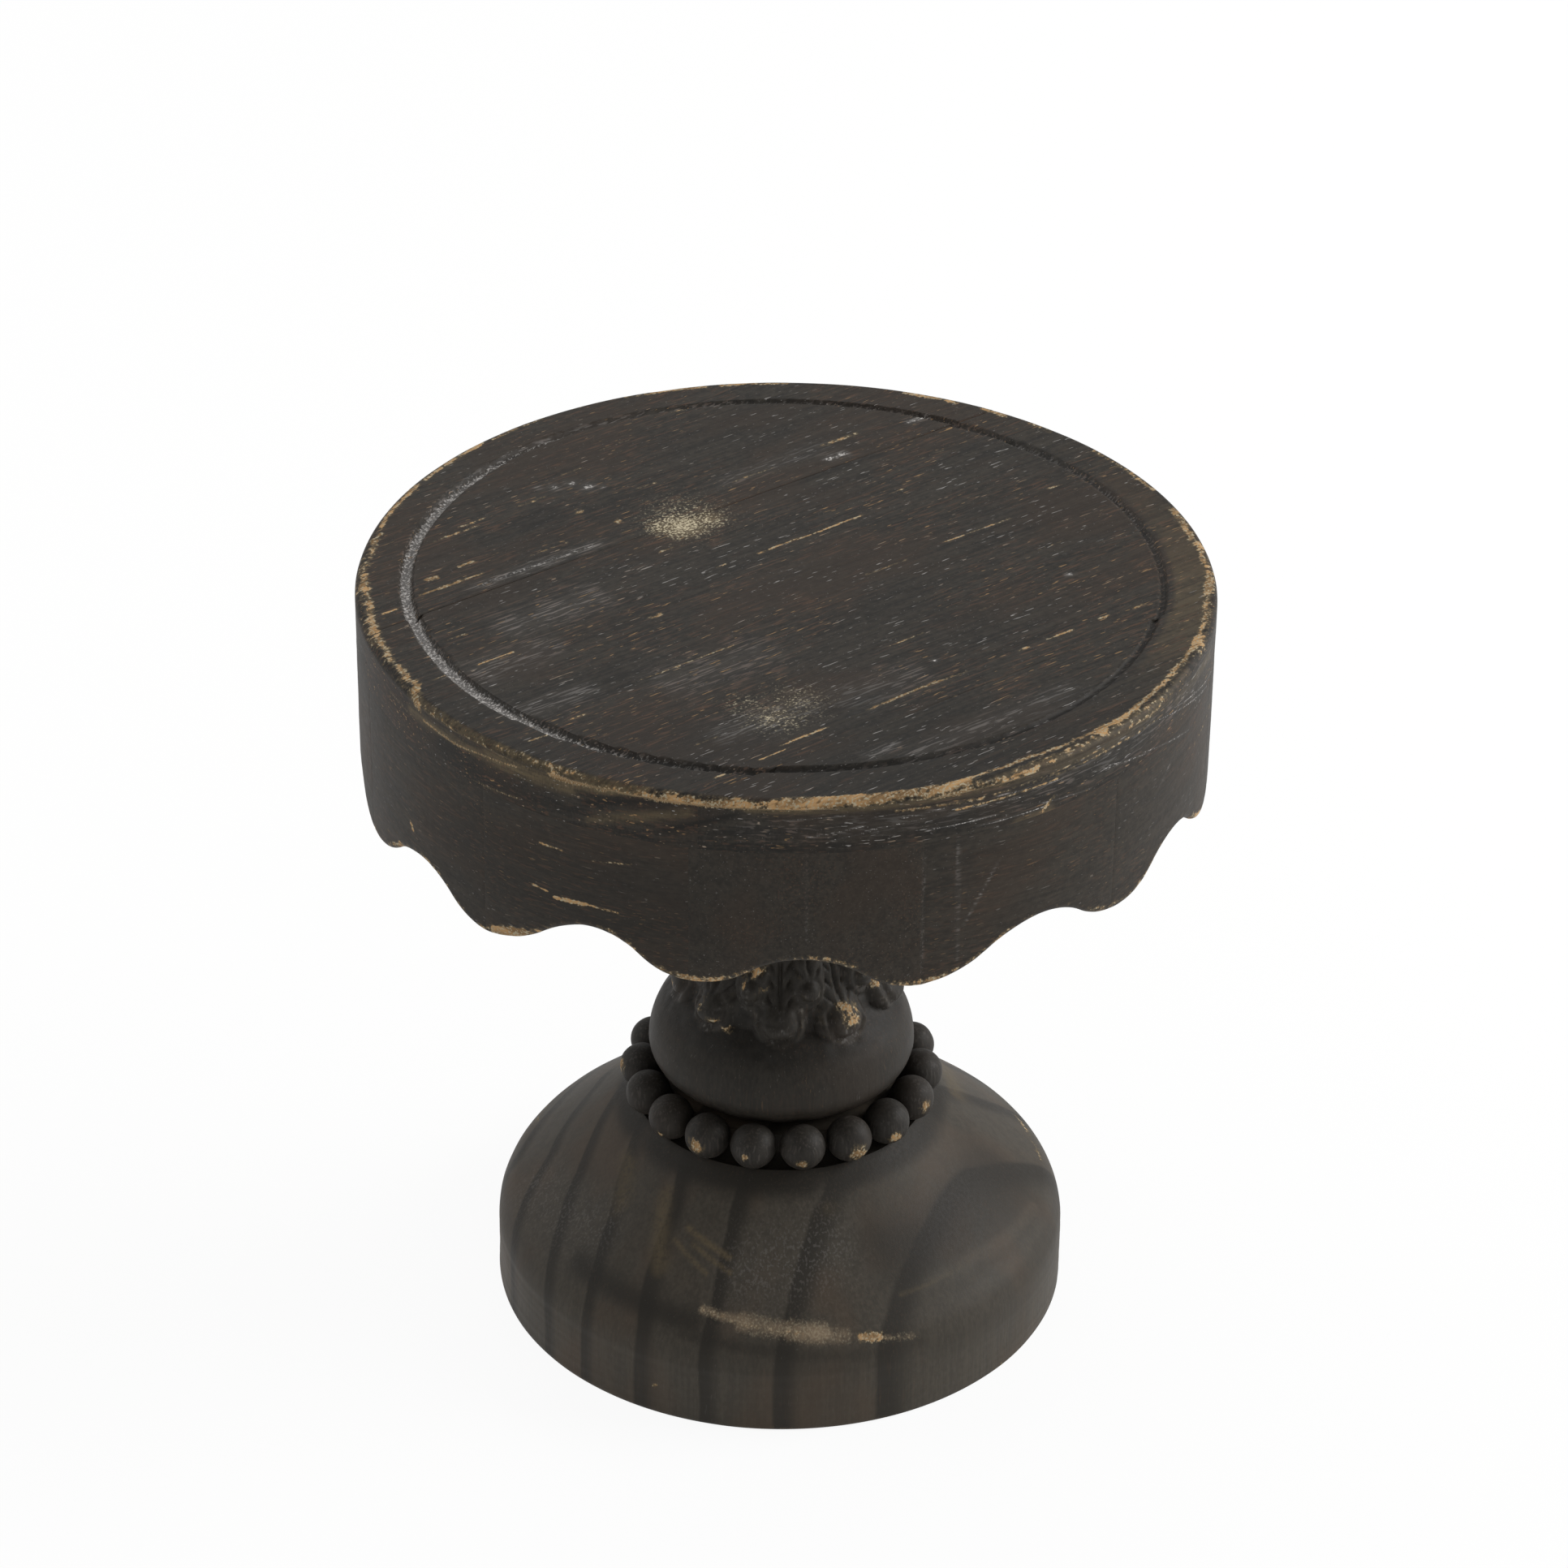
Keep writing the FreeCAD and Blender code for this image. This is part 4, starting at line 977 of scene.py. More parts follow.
def make_segment(number, node, settings, material):
    """Makes a segment of the apron: a closed outline in radius and height, carried round part of a turn.

    The outline goes down the outer side, round the eased edge, in along the scalloped land, up the inner
    side and out along the glued top. Both ends are closed.
    """
    sweep = FULL_TURN / len(SEGMENT_NODES)
    middle = settings.first_joint + sweep * (number - 0.5)
    turn = np.linspace(-sweep / 2, sweep / 2, SEGMENT_COLUMNS)
    half_width = TOP_RADIUS * math.sin(sweep / 2)
    inner = TOP_RADIUS - settings.wall
    easing = settings.edge_rounding

    def land(radius):
        """Height of the scalloped land at a radius, over this segment's turn."""
        aside, down = scallop_slip(middle + turn)
        across = radius * np.sin(turn) - aside
        return LOBE_HEIGHT - down + scallop_height(across, half_width, settings.scallop_depth)

    edge = land(TOP_RADIUS)
    share = np.linspace(0, 1, SEGMENT_SIDE_ROWS)[:, None]
    outer_height = BOARD_UNDERSIDE + share * (edge + easing - BOARD_UNDERSIDE)
    outer_radius = TOP_RADIUS + 0 * outer_height
    bend = np.linspace(0, math.pi / 2, 7)[1:, None]
    bend_height = edge + easing * (1 - np.sin(bend))
    bend_radius = TOP_RADIUS - easing * (1 - np.cos(bend)) + 0 * bend_height
    land_radius = np.linspace(TOP_RADIUS - easing, inner, 9)[1:, None] + 0 * turn
    land_height = land(land_radius)
    back = np.linspace(0, 1, 10)[1:, None]
    back_height = land_height[-1:] + back * (BOARD_UNDERSIDE - land_height[-1:])
    back_radius = inner + 0 * back_height
    top_radius = np.linspace(inner, TOP_RADIUS, 5)[1:-1, None] + 0 * turn
    top_height = BOARD_UNDERSIDE + 0 * top_radius
    radius = np.concatenate([outer_radius, bend_radius, land_radius, back_radius, top_radius])
    height = np.concatenate([outer_height, bend_height, land_height, back_height, top_height])

    angle = middle + turn + 0 * radius
    drop = TOP_HEIGHT - height
    outward = smooth_step(radius, TOP_RADIUS - 2.2 * MM, TOP_RADIUS - easing)
    # The side's tone carries painted shade and painted sheen as well as the paint's own tone
    bare, haze, tone = (channel * outward for channel in side_wear(angle, drop))
    over_edge = height - (edge + easing) + 0 * radius
    low = bell(np.maximum(over_edge, 0), 0.45 * MM) * outward
    ragged = rim_noise(angle, height, 1, 1, 62)
    bare = np.maximum(bare, low * scallop_edge_strength(angle) * (0.9 + 0.3 * ragged))
    to_joint = np.minimum(np.abs(turn + sweep / 2), np.abs(turn - sweep / 2)) * TOP_RADIUS
    tone = np.maximum(tone, 0.12 * outward * bell(to_joint, 0.3 * MM))

    hollow = 0.5 + 0.5 * rim_noise(angle, drop, 7, 5, 44)
    saw = 0.5 + 0.5 * rim_noise(angle, drop, 0.9, 0.8, 46 + number)
    easing_at_joint = 0.04 * MM * bell(to_joint, 0.25 * MM)
    dent = np.clip(bare - 0.5, 0, 1) * 0.25 * MM * (0.5 + 0.5 * ragged)
    radius = radius - outward * (0.07 * MM * hollow + 0.03 * MM * saw + easing_at_joint + dent)
    points = turned_points(radius, height, angle)
    chord, depth = radius * np.sin(turn), radius * np.cos(turn)
    fibres = (depth, chord) if number == len(SEGMENT_NODES) else (chord, depth)
    grain = np.stack([*fibres, height], -1) + number * np.array((53, 17, 29)) * MM
    first_end = np.arange(len(radius)) * SEGMENT_COLUMNS
    ends = [first_end.tolist(), (first_end + SEGMENT_COLUMNS - 1).tolist()]
    faces = grid_quads(*radius.shape, close_rows=True).tolist() + ends
    wear = wear_channels(bare, haze, tone=tone)
    make_piece(f"scallop_{number:02d}", points, faces, grain, wear, material, node)


# Turned pieces

def circle_arc(start, middle, end, count):
    """Points of an arc of a circle through three points of an outline, at even turns, without the first."""
    (ax, ay), (bx, by), (cx, cy) = start, middle, end
    twice = 2 * (ax * (by - cy) + bx * (cy - ay) + cx * (ay - by))
    squares = [x * x + y * y for x, y in (start, middle, end)]
    ox = (squares[0] * (by - cy) + squares[1] * (cy - ay) + squares[2] * (ay - by)) / twice
    oy = (squares[0] * (cx - bx) + squares[1] * (ax - cx) + squares[2] * (bx - ax)) / twice
    radius = math.hypot(ax - ox, ay - oy)
    first, halfway, last = (math.atan2(y - oy, x - ox) for x, y in (start, middle, end))
    way = turn_between(halfway, first)
    sweep = way + turn_between(last, halfway)
    turn = first + sweep * np.linspace(0, 1, count + 1)[1:]
    return np.stack([ox + radius * np.cos(turn), oy + radius * np.sin(turn)], -1)


def straight(start, end, count):
    """Points of a straight stretch of an outline at even steps, without the first."""
    share = np.linspace(0, 1, count + 1)[1:, None]
    return np.array(start) + share * (np.array(end) - np.array(start))


def turned_grid(outline, columns):
    """Radius, height and angle from the front of an outline's points, carried round a whole turn."""
    angle = np.linspace(-math.pi, math.pi, columns, endpoint=False)[None, :]
    radius = outline[:, :1] + 0 * angle
    height = outline[:, 1:] + 0 * angle
    return radius, height, angle + 0 * radius


def turned_points(radius, height, angle):
    """X, Y and Z of points given by radius, height and angle from the front."""
    return np.stack([radius * np.sin(angle), -radius * np.cos(angle), height], -1)


def upright_grain(points):
    """Place in a blank whose fibres stand upright."""
    return points[..., [2, 0, 1]]


def column_outline(settings):
    """Outline of the column from the end of its screw hole, round the tenon and bun, up to the board."""
    low, high = COLUMN_LOW.z, COLUMN_HIGH.z
    seat = FOOT_HIGH.z
    seat_turn = math.acos(settings.bun_seat / settings.bun_radius)
    neck_turn = math.acos(settings.neck_radius / settings.bun_radius)
    bun_height = seat + settings.bun_lower_half * math.sin(seat_turn)
    turn = np.linspace(-seat_turn, neck_turn, 80)[1:]
    half_height = np.where(turn < 0, settings.bun_lower_half, settings.bun_upper_half)
    bun = np.stack([settings.bun_radius * np.cos(turn), bun_height + half_height * np.sin(turn)], -1)
    pilot_end = low + settings.pilot_length
    flange_low = high - settings.flange_thickness
    neck, collar = settings.neck_radius, settings.collar_top
    waist = (settings.waist_radius, (collar + flange_low) / 2)
    easing = 1 * MM
    rim = settings.flange_radius
    return np.concatenate([
        [(0, pilot_end)],
        straight((0, pilot_end), (settings.pilot_radius, pilot_end), 1),
        straight((settings.pilot_radius, pilot_end), (settings.pilot_radius, low), 6),
        straight((settings.pilot_radius, low), (settings.tenon_radius, low), 2),
        straight((settings.tenon_radius, low), (settings.tenon_radius, seat), 4),
        straight((settings.tenon_radius, seat), (settings.bun_seat, seat), 3),
        bun,
        straight(tuple(bun[-1]), (neck, collar), 56),
        circle_arc((neck, collar), waist, (neck, flange_low), 30),
        straight((neck, flange_low), (rim - easing, flange_low), 5),
        circle_arc((rim - easing, flange_low), (rim - easing * (1 - math.sin(math.pi / 4)),
                                                flange_low + easing * (1 - math.cos(math.pi / 4))),
                   (rim, flange_low + easing), 4),
        straight((rim, flange_low + easing), (rim, high), 6),
        straight((rim, high), (0, high), 3),
    ])


def leaf_carving(angle, height, base, settings):
    """Radius of the carved collar, how far each point stands out and how well a leaf covers it, from 0 to 1.

    A leaf is a curved shield: its middle line swells to a rounded tip and sinks into the neck above. Its
    half width follows an ellipse at the tip and narrows upwards, and its section is a flat-topped bow. A
    midrib, side veins and a curled groove round a boss at the tip are cut into it. Smaller leaves stand
    behind the gaps, and between them lies a core that is swollen low down.
    """
    stand, cover = np.zeros_like(base), np.zeros_like(base)
    swollen = smooth_step(height, settings.leaf_tip + 13 * MM, settings.leaf_tip + 4 * MM)
    core = settings.neck_radius + 3.7 * MM * swollen
    reach = np.maximum(base, core)
    chance = np.random.default_rng(7)
    count = settings.leaf_count
    for index in range(2 * count):
        behind = index >= count
        lean = chance.uniform(-1, 1, 4)
        middle = settings.first_leaf + (index + 0.5 * behind) * FULL_TURN / count
        middle = middle + math.radians(2.5) * lean[0]
        size = (0.72 if behind else 1.0) * (1 + 0.07 * lean[1])
        tip = settings.leaf_tip + (5.2 * MM if behind else 0) + 0.7 * MM * lean[2]
        swell = settings.leaf_reach + (-1.9 * MM if behind else 0) + 0.5 * MM * lean[3]
        if index == PROUD_LEAF:
            swell, size = swell + 2.4 * MM, size * 1.1
        across = turn_between(angle, middle) * LEAF_ROUND
        up = height - tip
        bow = 6.6 * MM * size
        low_part = np.sqrt(np.clip(1 - ((up - bow) / bow) ** 2, 0, 1))
        high_part = 1 - 0.35 * smooth_step(up, bow, 3.2 * bow)
        half = settings.leaf_half_width * size * np.where(up < bow, low_part, high_part)
        half = half * (1 + 0.07 * smooth_noise(height / (2.1 * MM) + 9 * index, across / (4 * MM), 31))
        inside = np.clip(1 - (np.abs(across) / np.maximum(half, 0.05 * MM)) ** 2.6, 0, 1) ** 0.55
        inside = np.where((up > 0) & (up < 21 * MM), inside, 0)
        arch = 0.55 * bell(up - 3.6 * MM, 4.4 * MM) + 0.45 * smooth_step(up, 20 * MM, 3 * MM)
        spine = settings.neck_radius + (swell - settings.neck_radius) * arch
        rib = 0.95 * MM * bell(across, 0.5 * MM) * smooth_step(up, 6 * MM, 9 * MM)
        vein_phase = (up - 0.95 * np.abs(across)) / (3.0 * MM)
        vein = 0.65 * MM * (0.5 + 0.5 * np.cos(FULL_TURN * vein_phase)) ** 5
        vein = vein * smooth_step(np.abs(across), 0.6 * MM, 1.8 * MM) * smooth_step(up, 5 * MM, 8 * MM)
        boss = np.hypot(across, (up - 4.4 * MM) * 0.95)
        curl = 0.95 * MM * bell(boss - 3.3 * MM * size, 0.55 * MM) * smooth_step(up, 8 * MM, 5 * MM)
        knob = 0.55 * MM * np.clip(1 - (boss / (2.9 * MM * size)) ** 2, 0, 1)
        shape = base + (spine - base) * inside - (rib + vein + curl - knob) * inside
        reach = np.maximum(reach, np.where(inside > 0, shape, 0))
        stand = np.maximum(stand, inside * smooth_step(up, 10 * MM, 2 * MM))
        cover = np.maximum(cover, inside * (0.6 if behind else 1.0))
    return reach, stand, cover


def make_column(settings, material):
    """Makes the column: an outline carried round a whole turn, with the leaf collar raised out of its neck.

    Tone paints shade into the gaps between the leaves, and thins the paint along their edges, partly as wear
    and partly as a painted highlight.
    """
    radius, height, angle = turned_grid(column_outline(settings), COLUMN_COLUMNS)
    on_collar = smooth_step(height, settings.leaf_tip - 4 * MM, settings.leaf_tip - 1 * MM)
    on_collar = on_collar * smooth_step(height, settings.collar_top + 6 * MM, settings.collar_top)
    on_collar = on_collar * (radius > settings.tenon_radius)
    carved, stand, cover = leaf_carving(angle, height, radius, settings)
    shown = (radius > settings.tenon_radius) & (height > FOOT_HIGH.z) & (height < COLUMN_HIGH.z)
    tool = turned_noise(angle, height, 12, 0.9, 51) + turned_noise(angle, height, 48, 5, 52)
    rough = turned_noise(angle, height, 64, 1.4, 53)
    new_radius = radius + 0.78 * (carved - radius) * on_collar - shown * (0.06 * MM * (2 - tool) / 2)
    new_radius = new_radius - on_collar * 0.18 * MM * (1 + rough)
    bare = np.zeros_like(radius)
    for middle, level, spread, rise, strength in COLUMN_WEAR:
        across = turn_between(angle, math.radians(middle)) * WEAR_ROUND / MM
        distance = np.hypot(across / spread, (height / MM - level) / rise)
        bare = np.maximum(bare, strength * bell(distance, 1))
    ragged = turned_noise(angle, height, 64, 0.8, 54)
    ragged = ragged + smooth_noise(angle / FULL_TURN * 128, height / (0.5 * MM), 55)
    bare = bare * (0.85 + 0.3 * ragged) * shown
    edges = bell(cover - 0.72, 0.16) * np.clip(0.5 + 0.5 * ragged, 0, 1)
    # Painted shade darkens the gaps between the leaves; along the leaves' edges the paint is thinned, partly as
    # wear and partly as a painted highlight
    tone = on_collar * (0.5 * (1 - cover) - 0.45 * edges)
    tone = tone * smooth_step(height, settings.collar_top - 2 * MM, settings.leaf_tip + 11 * MM)
    haze = 0.35 * on_collar * stand * np.clip(ragged, 0, 1)
    points = turned_points(new_radius, height, angle)
    faces = grid_quads(*radius.shape, close_columns=True).tolist()
    wear = wear_channels(bare, haze, tone=tone)
    grain = upright_grain(points)
    make_piece("turned_column", points, faces, grain, wear, material, "column")


def foot_outline(settings):
    """Closed outline of the foot: toe, wall, shoulder, cone, ball seat, socket, hole and counterbore."""
    top = FOOT_HIGH.z
    slope = math.atan2(top - settings.shoulder_height, FOOT_RADIUS - settings.cone_top)
    turn = math.pi / 2 - slope
    tangent = settings.shoulder_rounding * math.tan(turn / 2)
    wall_end = (FOOT_RADIUS, settings.shoulder_height - tangent)
    shoulder = (FOOT_RADIUS - settings.shoulder_rounding * (1 - math.cos(turn / 2)),
                wall_end[1] + settings.shoulder_rounding * math.sin(turn / 2))
    cone_start = (FOOT_RADIUS - tangent * math.cos(slope),
                  settings.shoulder_height + tangent * math.sin(slope))
    toe = settings.toe_rounding
    diagonal = toe * (1 - math.sin(math.pi / 4))

    seat_height = top + settings.seat_rise
    cone_height = np.linspace(cone_start[1], top, 4000)
    cone_radius = FOOT_RADIUS - (cone_height - settings.shoulder_height) / math.tan(slope)
    free = np.hypot(cone_radius - settings.seat_radius, cone_height - seat_height) > settings.seat_section
    last = np.argmin(free) - 1
    seat_start = (cone_radius[last], cone_height[last])
    half = math.sqrt(settings.seat_section ** 2 - settings.seat_rise ** 2)
    seat_end = (settings.seat_radius - half, top)
    lean = 0.3
    seat_low = (settings.seat_radius - lean * settings.seat_section,
                seat_height - settings.seat_section * math.sqrt(1 - lean ** 2))
    floor = top - settings.socket_depth
    return np.concatenate([
        circle_arc((FOOT_RADIUS - toe, 0), (FOOT_RADIUS - diagonal, diagonal), (FOOT_RADIUS, toe), 5),
        straight((FOOT_RADIUS, toe), wall_end, 22),
        circle_arc(wall_end, shoulder, cone_start, 22),
        straight(cone_start, seat_start, 56),
        circle_arc(seat_start, seat_low, seat_end, 14),
        straight(seat_end, (settings.socket_radius, top), 6),
        straight((settings.socket_radius, top), (settings.socket_radius, floor), 4),
        straight((settings.socket_radius, floor), (settings.hole_radius, floor), 2),
        straight((settings.hole_radius, floor), (settings.hole_radius, settings.counterbore_depth), 3),
        straight((settings.hole_radius, settings.counterbore_depth),
                 (settings.counterbore_radius, settings.counterbore_depth), 2),
        straight((settings.counterbore_radius, settings.counterbore_depth),
                 (settings.counterbore_radius, 0), 6),
        straight((settings.counterbore_radius, 0), (FOOT_RADIUS - toe, 0), 12),
    ])


def make_foot(settings, material):
    """Makes the foot: its closed outline carried round a whole turn, with tool rings, dents and wear."""
    radius, height, angle = turned_grid(foot_outline(settings), FOOT_COLUMNS)
    shown = (radius > settings.cone_top) & (height > 0.05 * MM)
    tool = turned_noise(angle, radius + height, 6, 0.8, 71)
    dents = turned_noise(angle, height, 40, 6, 72)
    ragged = turned_noise(angle, height, 64, 0.9, 73)
    patchy = 0.85 + 0.3 * turned_noise(angle, height, 90, 2, 76)
    smeared = marks_round(angle, height, SCUFF_ROUND, FOOT_SMEARS) * patchy
    haze = marks_round(angle, height, HAZE_ROUND, FOOT_HAZE)
    toe_wear = 0.5 * bell(height, 0.9 * MM) * (0.6 + 0.7 * turned_noise(angle, 0 * height, 50, 1, 74))
    bare = marks_round(angle, height, SCUFF_ROUND, FOOT_SCUFFS)
    bare = np.maximum(bare * (0.92 + 0.25 * ragged), toe_wear) * shown
    band = smooth_step(height, 10 * MM, 13 * MM) * smooth_step(height, 20 * MM, 16 * MM)
    tone = 0.34 * band * (1 + 0.4 * turned_noise(angle, 0 * height, 9, 1, 75))
    # Painted shade: the foot is darkened round and under the balls
    painted_shade_under_balls = smooth_step(radius, settings.seat_radius + 7.2 * MM, settings.seat_radius + 3.4 * MM)
    tone = np.maximum(tone, 0.85 * painted_shade_under_balls)
    # These marks hold a painted shadow on the foot's right as well as the paint's tone
    foot_tone_and_shadow = shades_round(angle, height, SHADE_ROUND, FOOT_TONES_AND_PAINTED_SHADOW)
    tone = np.where(foot_tone_and_shadow < 0, tone + 2 * foot_tone_and_shadow, np.maximum(tone, foot_tone_and_shadow)) * shown
    lower = shown * (0.05 * MM * (1 - tool) + 0.09 * MM * (1 - dents) + 0.3 * MM * np.clip(bare - 0.6, 0, 1))
    new_radius = radius - lower * (radius > settings.seat_radius)
    points = turned_points(new_radius, height, angle)
    faces = grid_quads(*radius.shape, close_rows=True, close_columns=True).tolist()
    wear = wear_channels(bare, haze * shown, smeared * shown, tone)
    grain = upright_grain(points)
    make_piece("turned_foot", points, faces, grain, wear, material, "foot")


def make_ball(number, node, material):
    """Makes a ball of the ring: a sphere in turns and tilts about its upright axis, a little out of round.

    Its poles are closed, and its worn spots are measured from the side that faces away from the column.
    """
    low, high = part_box(node)
    centre = (low + high) / 2
    size = (high.z - low.z) / 2
    turn = np.linspace(-math.pi, math.pi, BALL_COLUMNS, endpoint=False)[None, :]
    tilt = np.linspace(-math.pi / 2, math.pi / 2, BALL_ROWS)[:, None]
    facing = math.atan2(centre.x, -centre.y)
    bump = smooth_noise((turn + math.pi) / FULL_TURN * 6 + 0 * tilt, tilt * 2.2 + 5, 80 + number, 6)
    out = size * (0.985 + 0.015 * bump * np.cos(tilt))
    flat, rise = out * np.cos(tilt), out * np.sin(tilt)
    points = np.stack([centre.x + flat * np.sin(facing + turn), centre.y - flat * np.cos(facing + turn),
                       centre.z + rise + 0 * turn], -1)
    bare = np.zeros_like(bump)
    for ball, middle, up, spread, strength in BALL_WEAR:
        if ball == number:
            apart = np.hypot(turn_between(turn, math.radians(middle)) * np.cos(tilt), tilt - math.radians(up))
            bare = np.maximum(bare, strength * bell(apart, math.radians(spread)))
    grain = upright_grain(points) + number * 23 * MM
    faces = grid_quads(*bump.shape, close_columns=True).tolist()
    wear = wear_channels(bare, 0.06 + 0.06 * bump)
    make_piece(f"ball_{number:02d}", points, faces, grain, wear, material, node)


# Operators

class RISER_OT_planks(bpy.types.Operator):
    """Builds the three planks of the top, with the ring groove and the worn rim"""
    bl_idname = "riser.planks"
    bl_label = "Planked Top"

    def execute(self, context):
        settings, finish = context.scene.riser_board, context.scene.riser_finish
        board = Board(settings)
        paint = worn_paint("top_paint", finish.top_paint, finish, streak_share=0.6)
        front, back = settings.front_joint, settings.back_joint
        facing = settings.grain_angle
        front_grid = end_plank_grid(board, front, -1, *FRONT_PLANK_GRID)
        make_plank("front", board, front_grid, facing, paint)
        middle_grid = middle_plank_grid(board, front, back, *MIDDLE_PLANK_GRID)
        make_plank("middle", board, middle_grid, 0, paint)
        back_grid = end_plank_grid(board, back, 1, *BACK_PLANK_GRID)
        make_plank("back", board, back_grid, facing + math.pi, paint)
        return {"FINISHED"}


class RISER_OT_apron(bpy.types.Operator):
    """Builds the segments of the scalloped apron"""
    bl_idname = "riser.apron"
    bl_label = "Scalloped Apron"

    def execute(self, context):
        finish = context.scene.riser_finish
        paint = worn_paint("apron_paint", finish.apron_paint, finish, streak_share=0.3, warmth=0.35,
                           contrast=0.6, strays=0.25, nicks=0.25, relief=0.45)
        for number, node in enumerate(SEGMENT_NODES, 1):
            make_segment(number, node, context.scene.riser_apron, paint)
        return {"FINISHED"}


class RISER_OT_column(bpy.types.Operator):
    """Builds the turned column with its carved leaf collar"""
    bl_idname = "riser.column"
    bl_label = "Carved Column"

    def execute(self, context):
        finish = context.scene.riser_finish
        paint = worn_paint("column_paint", finish.column_paint, finish, streak_share=0.15, warmth=0.3,
                           contrast=0.4, strays=0.1, nicks=0.1, relief=0.35)
        make_column(context.scene.riser_column, paint)
        return {"FINISHED"}


class RISER_OT_balls(bpy.types.Operator):
    """Builds the ring of wooden balls"""
    bl_idname = "riser.balls"
    bl_label = "Ball Ring"

    def execute(self, context):
        finish = context.scene.riser_finish
        paint = worn_paint("bead_paint", finish.bead_paint, finish, streak_share=0.1, warmth=0.2,
                           contrast=0.4, strays=0.08, nicks=0.0, relief=0.35)
        for number, node in enumerate(BEAD_NODES, 1):
            make_ball(number, node, paint)
        return {"FINISHED"}


class RISER_OT_foot(bpy.types.Operator):
    """Builds the turned foot, whose growth rings show through its thin paint"""
    bl_idname = "riser.foot"
    bl_label = "Turned Foot"

    def execute(self, context):
        finish = context.scene.riser_finish
        paint = worn_paint("foot_paint", finish.foot_paint, finish, streak_share=0.1, warmth=0.4,
                           contrast=0.3, strays=0.08, nicks=0.05, grit=0.2, relief=0.3,
                           scuffed=finish.scuffed_paint, rings=FOOT_RINGS)
        make_foot(context.scene.riser_foot, paint)
        return {"FINISHED"}


class RISER_OT_fasteners(bpy.types.Operator):
    """Gives the screws and the washer their zinc-plated steel"""
    bl_idname = "riser.fasteners"
    bl_label = "Screws and Washer"

    def execute(self, context):
        steel = zinc_steel()
        for name in STEEL_NODES:
            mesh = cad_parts[name].data
            mesh.materials.clear()
            mesh.materials.append(steel)
        return {"FINISHED"}


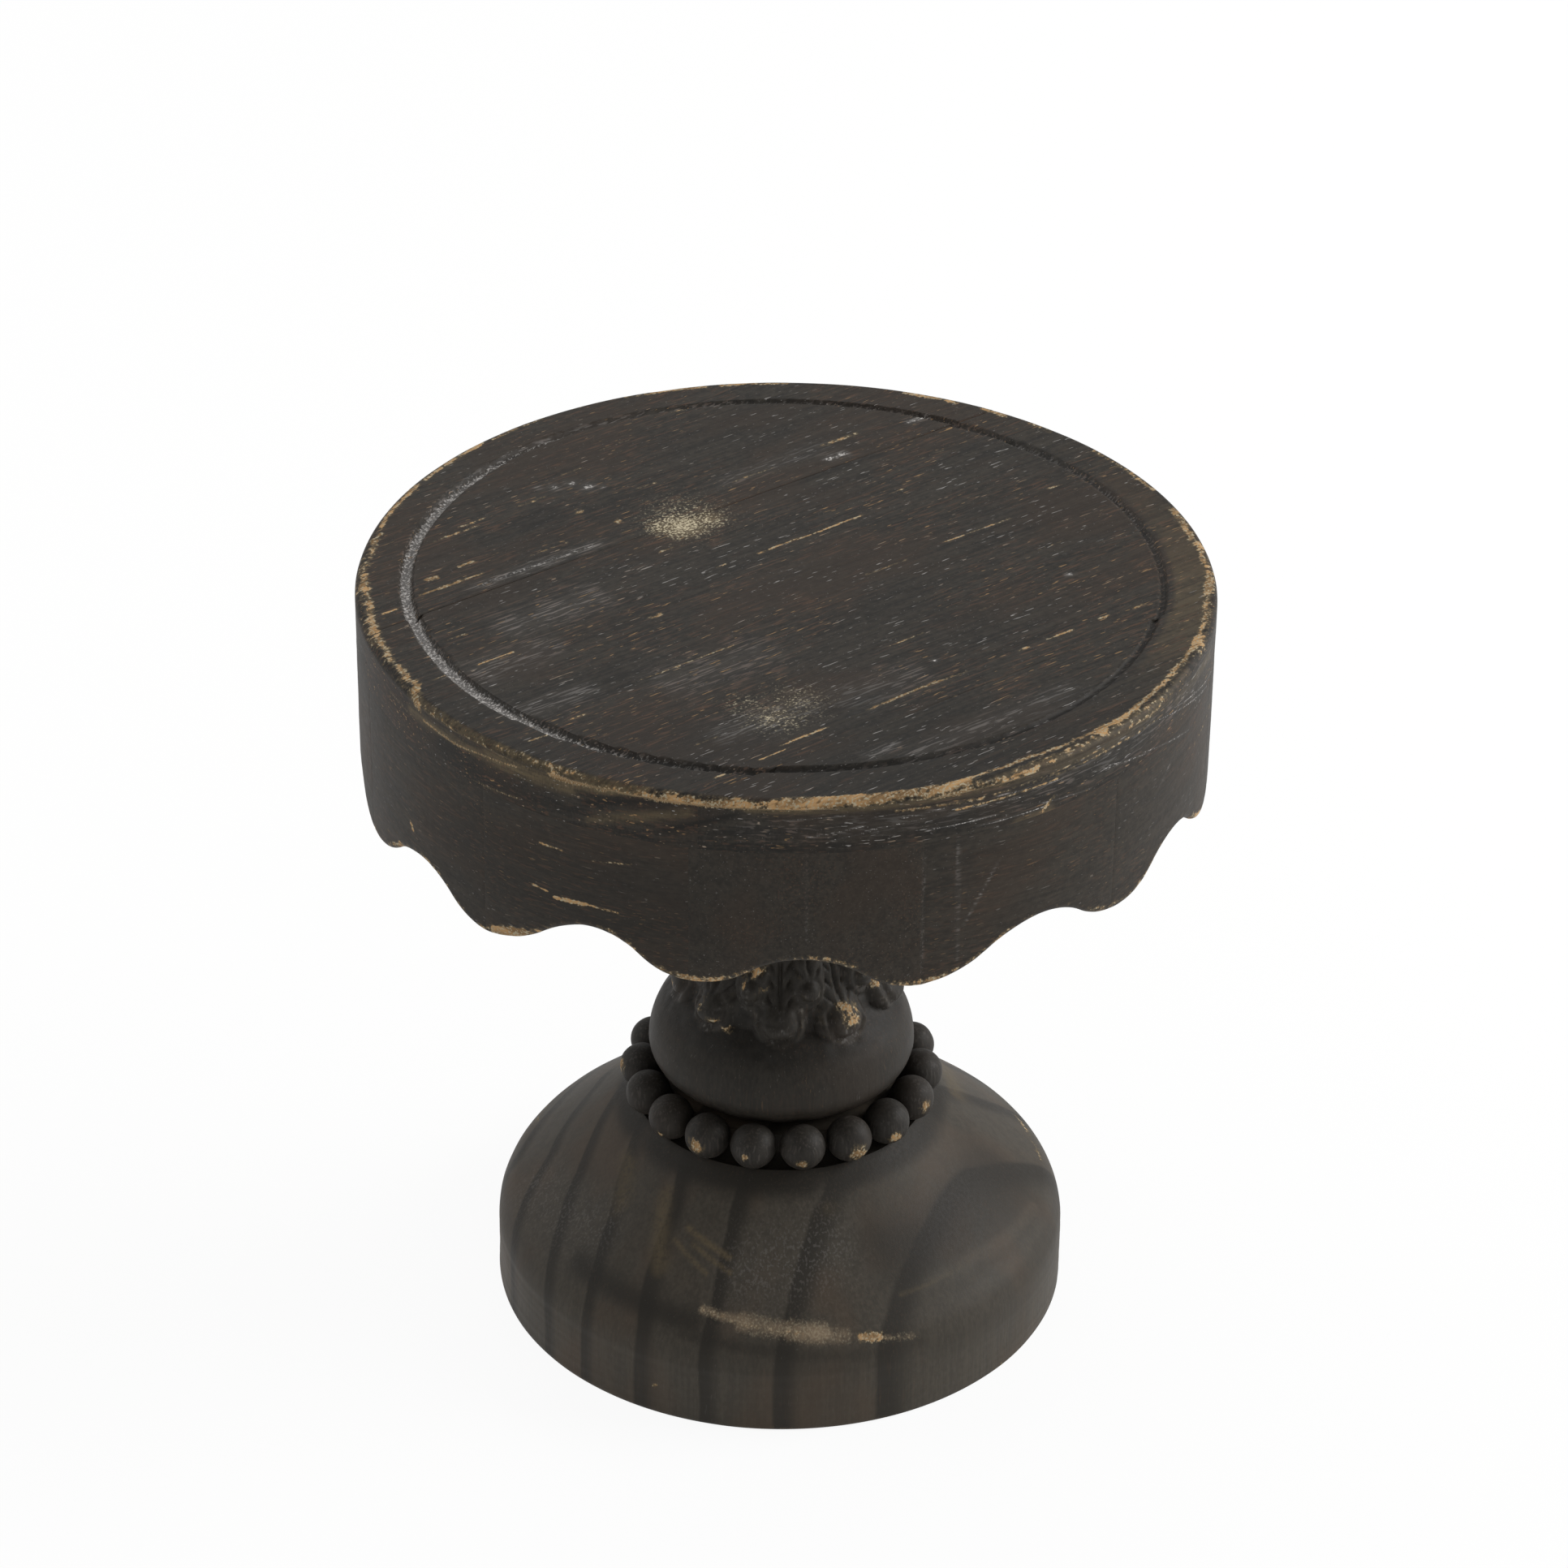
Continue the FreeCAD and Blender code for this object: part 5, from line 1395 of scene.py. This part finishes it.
class RISER_OT_stage(bpy.types.Operator):
    """Sets up the floor, the light and the camera"""
    bl_idname = "riser.stage"
    bl_label = "Stage"

    def execute(self, context):
        scene, settings = context.scene, context.scene.riser_stage
        scene.view_settings.view_transform = "Standard"
        self.make_floor(scene, settings)
        self.make_sky(scene, settings)
        for name, place, share in LAMPS:
            self.make_lamp(scene, name, Vector(place), settings.lamp_power * share)
        self.make_camera(scene, settings)
        return {"FINISHED"}

    def make_floor(self, scene, settings):
        """A wide flat square of quads just under the foot, white to the camera but for the riser's shadow."""
        reach = np.linspace(-3, 3, FLOOR_LINES)
        across, away = np.meshgrid(reach, reach)
        points = np.stack([across, away, 0 * across - 0.05 * MM], -1).reshape(-1, 3)
        mesh = bpy.data.meshes.new("floor")
        mesh.from_pydata(points, [], grid_quads(FLOOR_LINES, FLOOR_LINES).tolist())
        shader = Shader("floor")
        shader.surface.inputs["Base Color"].default_value = tint(settings.floor_colour)
        shader.surface.inputs["Roughness"].default_value = 0.9
        shader.surface.inputs["Specular IOR Level"].default_value = 0.1
        glow = shader.add("Emission", (1, 1, 1, 1), 1.0).outputs[0]
        rays = shader.add("LightPath").outputs
        seen = shader.most(rays["Is Camera Ray"], rays["Is Glossy Ray"])
        seen = shader.most(seen, rays["Is Transmission Ray"])
        share = shader.times(seen, settings.floor_glow)
        blend = shader.add("MixShader", share, shader.surface.outputs[0], glow).outputs[0]
        shader.put(shader.tree.nodes["Material Output"].inputs["Surface"], blend)
        mesh.materials.append(shader.material)
        floor = bpy.data.objects.new("floor", mesh)
        scene.collection.objects.link(floor)

    def make_sky(self, scene, settings):
        """Even light from all round, white to the camera."""
        world = bpy.data.worlds.new("sky")
        world.use_nodes = True
        scene.world = world
        tree = world.node_tree
        light = tree.nodes["Background"]
        light.inputs["Color"].default_value = (1, 1, 1, 1)
        light.inputs["Strength"].default_value = settings.sky_strength
        white = tree.nodes.new("ShaderNodeBackground")
        white.inputs["Strength"].default_value = 1.0
        white.inputs["Color"].default_value = (1, 1, 1, 1)
        path = tree.nodes.new("ShaderNodeLightPath")
        choose = tree.nodes.new("ShaderNodeMixShader")
        tree.links.new(path.outputs["Is Camera Ray"], choose.inputs[0])
        tree.links.new(light.outputs[0], choose.inputs[1])
        tree.links.new(white.outputs[0], choose.inputs[2])
        tree.links.new(choose.outputs[0], tree.nodes["World Output"].inputs["Surface"])

    def make_lamp(self, scene, name, place, power):
        """A large square lamp that faces the riser."""
        lamp = bpy.data.lights.new(name, "AREA")
        lamp.energy = power
        lamp.size = 0.9
        holder = bpy.data.objects.new(name, lamp)
        holder.location = place
        aim = Vector((0, 0, TOP_HEIGHT / 2)) - place
        holder.rotation_euler = aim.to_track_quat("-Z", "Y").to_euler()
        scene.collection.objects.link(holder)

    def make_camera(self, scene, settings):
        """The camera in front of the riser, looking down on it."""
        data = bpy.data.cameras.new("camera")
        data.lens = settings.lens
        data.sensor_width = 36
        data.clip_start = 0.05
        camera = bpy.data.objects.new("camera", data)
        back = Vector((0, -math.cos(settings.elevation), math.sin(settings.elevation)))
        camera.location = Vector(settings.target) + settings.distance * back
        camera.rotation_euler = (math.pi / 2 - settings.elevation, 0, 0)
        camera.rotation_euler.rotate_axis("Z", settings.roll)
        scene.collection.objects.link(camera)
        scene.camera = camera


OPERATORS = (RISER_OT_planks, RISER_OT_apron, RISER_OT_column, RISER_OT_balls, RISER_OT_foot,
             RISER_OT_fasteners, RISER_OT_stage)
SETTINGS = {"riser_board": BoardSettings, "riser_apron": ApronSettings, "riser_column": ColumnSettings,
            "riser_foot": FootSettings, "riser_finish": FinishSettings, "riser_stage": StageSettings}


class RISER_PT_panel(bpy.types.Panel):
    """Lists the riser's pieces and their settings"""
    bl_idname = "RISER_PT_panel"
    bl_label = "Display Riser"
    bl_space_type = "VIEW_3D"
    bl_region_type = "UI"
    bl_category = "Riser"

    def draw(self, context):
        for operator in OPERATORS:
            self.layout.operator(operator.bl_idname)
        for name, group in SETTINGS.items():
            box = self.layout.box()
            for key in group.__annotations__:
                box.prop(getattr(context.scene, name), key)


def register():
    for group in (*SETTINGS.values(), *OPERATORS, RISER_PT_panel):
        bpy.utils.register_class(group)
    for name, group in SETTINGS.items():
        setattr(bpy.types.Scene, name, PointerProperty(type=group))


def unregister():
    for name in SETTINGS:
        delattr(bpy.types.Scene, name)
    for group in reversed((*SETTINGS.values(), *OPERATORS, RISER_PT_panel)):
        bpy.utils.unregister_class(group)


def main():
    register()
    for operator in (bpy.ops.riser.planks, bpy.ops.riser.apron, bpy.ops.riser.column, bpy.ops.riser.balls,
                     bpy.ops.riser.foot, bpy.ops.riser.fasteners, bpy.ops.riser.stage):
        operator()


if __name__ == "__main__":
    main()
